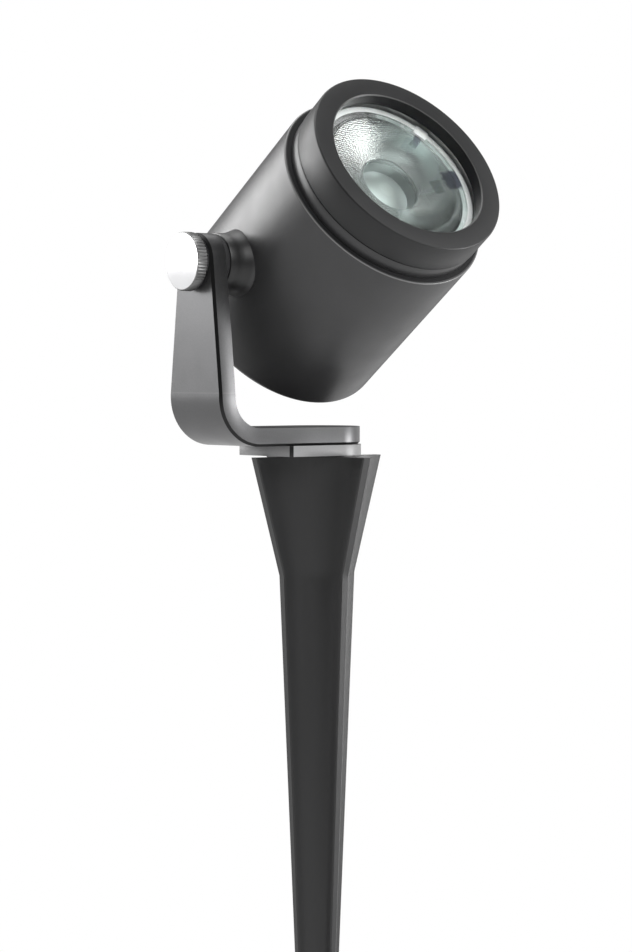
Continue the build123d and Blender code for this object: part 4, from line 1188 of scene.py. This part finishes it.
@dataclass
class HeadShell:
    """Housing with its boss, seal, collar, bezel, gasket and glass."""

    head: Head
    radius: float = 31.0
    back: float = -23.6
    front: float = 32.9
    bore: float = 28.0
    floor: float = -19.6
    back_round: float = 1.6
    floor_round: float = 1.0
    rim_bevel: float = 0.45
    rim_inset: float = 0.15
    seal_radius: float = 30.25
    seal_back: float = 32.0
    ledge_low: float = 7.0
    ledge_high: float = 10.0
    ledge_bore: float = 22.0
    boss_foot: float = 29.0
    boss_radius: float = 8.0
    boss_round: float = 0.3
    # the side boss gets painted shade from here outwards along -X
    boss_painted_shade_at: float = 31.3
    flare_radius: float = 9.3
    flare_start: float = 29.8
    flare_end: float = 33.6
    flare_round: float = 1.2
    boss_end: float = 37.5
    insert_radius: float = 4.6
    insert_length: float = 7.4
    gland_hole: float = 6.05
    bare_from: float = 1.0
    bare_margin: float = 0.2
    play: float = 0.05
    skin: float = 0.02
    collar_radius: float = 29.0
    collar_front: float = 36.6
    collar_bore: float = 25.2
    spigot_back: float = 24.0
    nose_radius: float = 26.95
    bezel_radius: float = 29.2
    bezel_back: float = 36.85
    bezel_front: float = 45.75
    bezel_bore: float = 27.0
    opening: float = 23.3
    opening_edge: float = 0.25
    gasket_inset: float = 0.2
    lip_back: float = 42.45
    glass_front: float = 41.85
    glass_back: float = 38.85
    glass_radius: float = 26.7
    glass_round: float = 0.3
    steps: int = 192

    def housing(self, finish: Finish) -> None:
        """Turns the can, hollows it and adds the side boss."""
        outline = [
            (self.gland_hole, self.back),
            (self.radius, self.back, self.back_round, 6),
            (self.radius, self.front, self.rim_bevel, 4),
            (self.seal_radius, self.front),
            (self.seal_radius, self.seal_back),
            (self.bore, self.seal_back),
            (self.bore, self.ledge_high),
            (self.ledge_bore, self.ledge_high),
            (self.ledge_bore, self.ledge_low),
            (self.bore, self.ledge_low),
            (self.bore, self.floor, self.floor_round, 3),
            (self.gland_hole, self.floor),
        ]
        can = Shape().turned(outline, self.steps, closed=True)
        boss = [
            (0, self.boss_foot),
            (self.flare_radius, self.boss_foot),
            (self.flare_radius, self.flare_start),
            (self.boss_radius, self.flare_end, self.flare_round, 5),
            (self.boss_radius, self.boss_end, self.boss_round, 2),
            (self.insert_radius, self.boss_end),
            (self.insert_radius, self.boss_end - self.insert_length),
            (0, self.boss_end - self.insert_length),
        ]
        can.joined(Shape().turned(boss, 96).moved(Matrix.Rotation(-math.pi / 2, 4, "Y")))
        can.piece("housing_can", self.head.place, "head", "graphite_coat", finish, "housing", 28.0)

    def ring(self, name: str, rows: Sequence[tuple], slot: str, finish: Finish, replaced: str) -> None:
        """Turns one piece of the head: a ring, or a disc where its outline starts on the axis."""
        turned = Shape().turned(rows, self.steps, closed=rows[0][0] > 0)
        turned.piece(name, self.head.place, "head", slot, finish, replaced)

    def zones(self) -> tuple[HeadZone, HeadZone, HeadZone]:
        """The zones of the housing, the collar and the bezel: bare bores, painted shade in the bezel's
        opening and over the side boss, and painted highlights along rims.
        """
        can = HeadZone(
            self.head,
            self.bore + self.bare_margin,
            self.back + self.bare_from,
            rim=(self.radius - self.rim_inset, self.front - self.rim_inset),
            # painted highlight along the front rim's edge
            rim_highlight_colour=(0.12, 0.12, 0.12),
            # painted shade over the side boss
            boss=self.boss_painted_shade_at,
        )
        sleeve = HeadZone(self.head, self.nose_radius + self.skin, bore_colour=(0.8, 0.8, 0.8))
        opening = HeadZone(
            self.head,
            self.opening + self.skin,
            # painted shade: the opening's wall a little darker than the bezel's coat
            bore_colour=(0.008, 0.008, 0.009),
            bore_metallic=0.0,
            # painted highlight along the opening's edge
            rim=(self.opening + self.opening_edge, self.bezel_front - self.opening_edge),
        )
        return can, sleeve, opening

    def build(self, frame: dict) -> None:
        """Makes and dresses the shell's pieces."""
        can, sleeve, opening = self.zones()
        graphite = (0.026, 0.026, 0.0268)
        self.housing(CoatedMetal("housing graphite coat", graphite, 0.36, zone=can))
        rubber = Elastomer("seal rubber", (0.010, 0.010, 0.011))
        seal = band(self.bore, self.seal_radius - self.play, self.seal_back, self.front)
        self.ring("body_seal_ring", seal, "rubber", rubber, "body_seal")
        collar = [
            (self.collar_bore, self.spigot_back),
            (self.bore - self.play, self.spigot_back, 0.4, 1),
            (self.bore - self.play, self.front),
            (self.collar_radius, self.front, 0.2, 2),
            (self.collar_radius, self.collar_front, 0.25, 2),
            (self.nose_radius, self.collar_front),
            (self.nose_radius, self.glass_back),
            (self.collar_bore, self.glass_back),
        ]
        coat = CoatedMetal("collar graphite coat", graphite, 0.36, zone=sleeve)
        self.ring("collar_sleeve", collar, "graphite_coat", coat, "collar")
        bezel = [
            (self.bezel_bore, self.bezel_back),
            (self.bezel_radius, self.bezel_back, 0.25, 2),
            (self.bezel_radius, self.bezel_front, 0.55, 3),
            (self.opening, self.bezel_front, 0.35, 1),
            (self.opening, self.lip_back),
            (self.bezel_bore, self.lip_back),
        ]
        skin = {"gloss": 0.4, "skin_depth": 0.02}
        matt = CoatedMetal("bezel matt coat", (0.010, 0.0102, 0.0107), 0.42, zone=opening, **skin)
        self.ring("bezel_ring", bezel, "bezel_coat", matt, "bezel")
        inner = self.opening + self.gasket_inset
        gasket = band(inner, self.glass_radius, self.glass_front, self.lip_back)
        self.ring("glass_gasket_ring", gasket, "rubber", rubber, "glass_gasket")
        glass = band(0, self.glass_radius, self.glass_back, self.glass_front, self.glass_round, 1)
        clear = ClearGlass("front glass", (0.97, 0.99, 0.98))
        self.ring("glass_disc", glass, "clear_glass", clear, "front_glass")


@dataclass
class LightEngine:
    """Optic, its holder, the emitter board and the heat plate."""

    head: Head
    optic_radius: float = 22.6
    optic_front: float = 38.0
    optic_height: float = 18.4
    rim: float = 1.4
    rim_round: float = 0.2
    shoulder: float = 21.4
    foot_radius: float = 8.4
    dish_land: float = 2.0
    dish_depth: float = 3.2
    well_radius: float = 8.6
    well_round: float = 0.3
    well_depth: float = 7.0
    well_taper: float = 1.0
    well_crown: float = 1.8
    pocket_radius: float = 6.2
    pocket_depth: float = 6.5
    pocket_taper: float = 0.5
    pocket_crown: float = 1.6
    belly: float = 2.2
    dot_radius: float = 4.6
    steps: int = 160
    curve_steps: int = 14

    def dome(self, radius: float, edge: float, crown: float) -> list[Point]:
        """Points of a shallow dome from near its top to its edge."""
        shares = [step / self.curve_steps for step in range(1, self.curve_steps + 1)]
        return [(radius * share, edge + crown * (1 - share * share)) for share in shares]

    def optic(self) -> None:
        """Turns the optic from its bell, well and pocket."""
        front = self.optic_front
        back = front - self.optic_height
        rim_back = front - self.rim
        well_floor = front - self.well_depth
        pocket_top = back + self.pocket_depth
        dish = (
            Corner(self.well_radius, front - self.dish_depth, self.well_round),
            Corner(self.optic_radius - self.dish_land, front),
        )
        rows = [
            (0, well_floor + self.well_crown),
            *self.dome(self.well_radius - self.well_taper, well_floor, self.well_crown),
            *dish,
            (self.optic_radius, front, self.rim_round, 2),
            (self.optic_radius, rim_back),
            (self.shoulder, rim_back),
        ]
        for step in range(1, self.curve_steps):
            share = step / self.curve_steps
            radius = self.shoulder + (self.foot_radius - self.shoulder) * share
            bow = self.belly * 4 * share * (1 - share)
            rows.append((radius + bow, rim_back + (back - rim_back) * share))
        rows += [(self.foot_radius, back), (self.pocket_radius, back)]
        narrow = self.pocket_radius - self.pocket_taper
        rows += reversed(self.dome(narrow, pocket_top, -self.pocket_crown))
        rows.append((0, pocket_top - self.pocket_crown))
        # painted reflections on the optic's front: dark ones and one white painted highlight
        painted_reflections = (
            PaintedReflection(20.2, 0.1, 3.0, 3.1, 5.0, 0.97),
            PaintedReflection(14.6, -1.6, 1.5, 2.2, 5.0, 0.75, (0.10, 0.14, 0.14)),
            PaintedReflection(14.2, 14.0, 3.2, 1.1, 45.0, 0.95),
            PaintedReflection(10.7, 12.2, 2.4, 1.8, 45.0, 0.45, (0.14, 0.17, 0.17)),
            PaintedReflection(1.0, 20.6, 1.8, 2.2, 0.0, 0.55, (0.16, 0.18, 0.18)),
            PaintedReflection(17.6, -13.2, 2.6, 3.4, 35.0, 0.85, (1.0, 1.0, 1.0)),
        )
        finish = PebbledOptic("clear optic", (0.70, 0.76, 0.745), self.head, dish, painted_reflections)
        shape = Shape().turned(rows, self.steps)
        shape.piece("optic_lens", self.head.place, "head", "clear_optic", finish, "optic", 35.0)

    def build(self, frame: dict) -> None:
        """Makes and dresses the light engine's pieces."""
        self.optic()
        # painted shade: board and emitter darker than their own colours, since little light reaches them
        dot, ceramic = (0.50, 0.42, 0.12), (0.40, 0.41, 0.40)
        finishes = {
            "lens_holder": MouldedPlastic("holder plastic", (0.80, 0.81, 0.81), 0.35, streak=0.03),
            "heat_plate": BareMetal("turned aluminium", (0.72, 0.72, 0.73), 0.35),
            "plate_screws": SCREW_STEEL,
            "board_screws": SCREW_STEEL,
            "thermal_pad": Elastomer("thermal pad", (0.25, 0.27, 0.30)),
            "led_board": CircuitBoard("board in painted shade", (0.30, 0.31, 0.31), (0.24, 0.25, 0.25)),
            "led_emitter": Phosphor("emitter", dot, ceramic, self.head, self.dot_radius),
            "pivot_insert": BRASS,
        }
        dress(frame, finishes)


@dataclass
class Driver:
    """Driver board, its parts and the two leads, closed inside the housing."""

    def build(self, frame: dict) -> None:
        """Dresses the driver's pieces."""
        finishes = {
            "driver_board": CircuitBoard("driver board", (0.03, 0.16, 0.07), (0.05, 0.24, 0.10)),
            "driver_screws": SCREW_STEEL,
            "driver_inductor": MouldedPlastic("component black", (0.02, 0.02, 0.02), 0.5),
            "driver_capacitor": MouldedPlastic("capacitor sleeve", (0.02, 0.03, 0.06), 0.3),
            "driver_terminal": MouldedPlastic("terminal green", (0.05, 0.20, 0.09), 0.45),
            "lead_red": Elastomer("red insulation", (0.45, 0.02, 0.02), 0.4),
            "lead_black": Elastomer("black insulation", (0.02, 0.02, 0.02), 0.4),
        }
        dress(frame, finishes)


@dataclass
class CableGland:
    """Gland at the centre of the housing's back."""

    def build(self, frame: dict) -> None:
        """Dresses the gland's pieces."""
        plastic = MouldedPlastic("gland black plastic", (0.020, 0.020, 0.021), 0.45)
        rubber = Elastomer("gland rubber", (0.012, 0.012, 0.012))
        dress(frame, dict.fromkeys(("gland_body", "gland_nut", "gland_locknut"), plastic))
        dress(frame, dict.fromkeys(("gland_ring", "gland_seal"), rubber))


# --------------------------------------------------------------------------- studio
@dataclass(frozen=True)
class Panel:
    """A lamp or a card of the studio.

    Attributes:
        name: its name.
        where: its place towards the camera, to its right and up, in millimetres.
        size: width and height in millimetres.
        strength: a lamp's watts, or a card's brightness, where 1 is white.
    """

    name: str
    where: Place
    size: Point
    strength: float


LAMPS = (
    Panel("left softbox", (-210, -700, 300), (760, 420), 7.0),
    Panel("top softbox", (-120, -80, 760), (700, 500), 3.0),
    Panel("right softbox", (-60, 780, -170), (260, 560), 6.0),
    Panel("head softbox", (640, 480, 540), (500, 500), 5.0),
)
CARDS = (
    Panel("front flag", (1060, 660, 0), (3200, 1800), 0.12),
    Panel("left flag", (700, -800, 0), (1300, 1800), 0.12),
    Panel("top flag", (-260, 760, 960), (1100, 1000), 0.08),
    Panel("over flag", (480, -300, 900), (1100, 800), 0.10),
    Panel("back flag", (-900, -60, 200), (900, 700), 0.15),
    Panel("optic card", (-35, 1030, 530), (800, 800), 2.1),
)


@dataclass
class Studio:
    """Camera at the photograph's angle, soft lamps, pale floor and white background."""

    azimuth: float = -38.16
    elevation: float = 2.35
    distance: float = 728.0
    across: float = -0.344
    up: float = -5.59
    focal_pixels: float = 2600.0
    picture_height: float = 952.0
    sensor: float = 36.0
    clip: Point = (0.01, 50.0)
    aim_height: float = 40.0
    floor_height: float = -235.6
    floor_size: float = 6000.0
    floor_white: float = 0.8
    shadow_span: Point = (180.0, 400.0)
    world_strength: float = 0.62

    def axes(self) -> tuple[Vector, Vector, Vector]:
        """Towards the camera, to its right and to its top."""
        azimuth, elevation = math.radians(self.azimuth), math.radians(self.elevation)
        level = math.cos(elevation)
        back = Vector((math.sin(azimuth) * level, -math.cos(azimuth) * level, math.sin(elevation)))
        right = Vector((math.cos(azimuth), math.sin(azimuth), 0))
        return back, right, back.cross(right)

    def point(self, where: Place) -> Vector:
        """A point given towards the camera, to its right and up, in the row frame."""
        back, right, top = self.axes()
        return back * where[0] + right * where[1] + top * where[2]

    def camera(self) -> None:
        """Sets the camera."""
        back, right, top = self.axes()
        data = bpy.data.cameras.new("photo camera")
        data.sensor_width = self.sensor
        data.lens = self.focal_pixels * self.sensor / self.picture_height
        data.clip_start, data.clip_end = self.clip
        camera = add_object("photo camera", data)
        turn = Matrix((right, top, back)).transposed()
        place = self.point((self.distance, self.across, self.up)) * MM
        camera.matrix_world = Matrix.Translation(place) @ turn.to_4x4()
        bpy.context.scene.camera = camera

    def lamp(self, panel: Panel) -> None:
        """Adds a soft lamp that faces the head."""
        data = bpy.data.lights.new(panel.name, "AREA")
        data.shape = "RECTANGLE"
        data.size, data.size_y = (side * MM for side in panel.size)
        data.energy = panel.strength
        lamp = add_object(panel.name, data)
        place = self.point(panel.where) * MM
        lamp.location = place
        lamp.rotation_mode = "QUATERNION"
        aim = Vector((0, 0, self.aim_height * MM))
        lamp.rotation_quaternion = (aim - place).to_track_quat("-Z", "Y")

    def card(self, panel: Panel) -> None:
        """Adds a card that only reflections and clear pieces see."""
        place = self.point(panel.where)
        turn = place.to_track_quat("Z", "Y").to_matrix().to_4x4()
        stretch = Matrix.Diagonal((*panel.size, 1.0, 1.0))
        matrix = Matrix.Scale(MM, 4) @ Matrix.Translation(place) @ turn @ stretch
        bm = bmesh.new()
        bmesh.ops.create_grid(bm, x_segments=1, y_segments=1, size=0.5, matrix=matrix)
        card = mesh_object(panel.name, bm)
        material, g = new_graph(panel.name)
        light = g.node("ShaderNodeEmission", inputs={"Color": (*(panel.strength,) * 3, 1.0)})
        g.node("ShaderNodeOutputMaterial", inputs={"Surface": light})
        card.data.materials.append(material)
        card.visible_camera = card.visible_diffuse = card.visible_shadow = False
        card.visible_volume_scatter = False

    def world(self) -> None:
        """White for the camera, reflections and refractions; plain light otherwise."""
        world = bpy.data.worlds.new("studio")
        world.use_nodes = True
        bpy.context.scene.world = world
        g = Graph(world.node_tree)
        strength = g.ramp(g.seen(), 0.0, 1.0, self.world_strength, 1.0)
        light = g.node("ShaderNodeBackground", inputs={"Color": (1, 1, 1, 1), "Strength": strength})
        g.node("ShaderNodeOutputWorld", inputs={"Surface": light})

    def floor(self) -> None:
        """Adds the pale floor, white for the camera except in shadow."""
        bm = bmesh.new()
        size, place = self.floor_size * MM / 2, Matrix.Translation((0, 0, self.floor_height * MM))
        bmesh.ops.create_grid(bm, x_segments=8, y_segments=8, size=size, matrix=place)
        floor = mesh_object("floor", bm)
        material, g = new_graph("pale floor")
        place = g.object_place()
        sockets = {
            "Base Color": g.blend(g.noise(place, 40.0), (0.86, 0.86, 0.86), (0.88, 0.88, 0.88)),
            "Roughness": 0.9,
            "Specular IOR Level": 0.0,
        }
        white = g.node("ShaderNodeEmission", inputs={"Color": (1, 1, 1, 1)})
        x, y, _ = g.parts(place)
        near, far = (reach * MM for reach in self.shadow_span)
        open_share = g.ramp((x * x + y * y).root(), near, far, self.floor_white, 1.0)
        share = g.ramp(g.seen(), 0.0, 1.0) * open_share
        mixed = g.node("ShaderNodeMixShader", inputs={0: share, 1: g.principled(sockets), 2: white})
        g.node("ShaderNodeOutputMaterial", inputs={"Surface": mixed})
        floor.data.materials.append(material)

    def build(self) -> None:
        """Sets up the whole studio."""
        self.camera()
        self.world()
        self.floor()
        for panel in LAMPS:
            self.lamp(panel)
        for panel in CARDS:
            self.card(panel)
        bpy.context.scene.view_settings.view_transform = "Standard"


def main() -> None:
    """Loads the frame, builds every sub-assembly and sets up the studio."""
    logging.basicConfig(level=logging.INFO, format="%(message)s")
    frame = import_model()
    head = Head()
    assemblies = [GroundSpike(), Bracket(), TiltKnob(), HeadShell(head), LightEngine(head)]
    assemblies += [Driver(), CableGland()]
    for assembly in assemblies:
        log.info("building %s", type(assembly).__name__)
        assembly.build(frame)
    Studio().build()


if __name__ == "__main__":
    main()
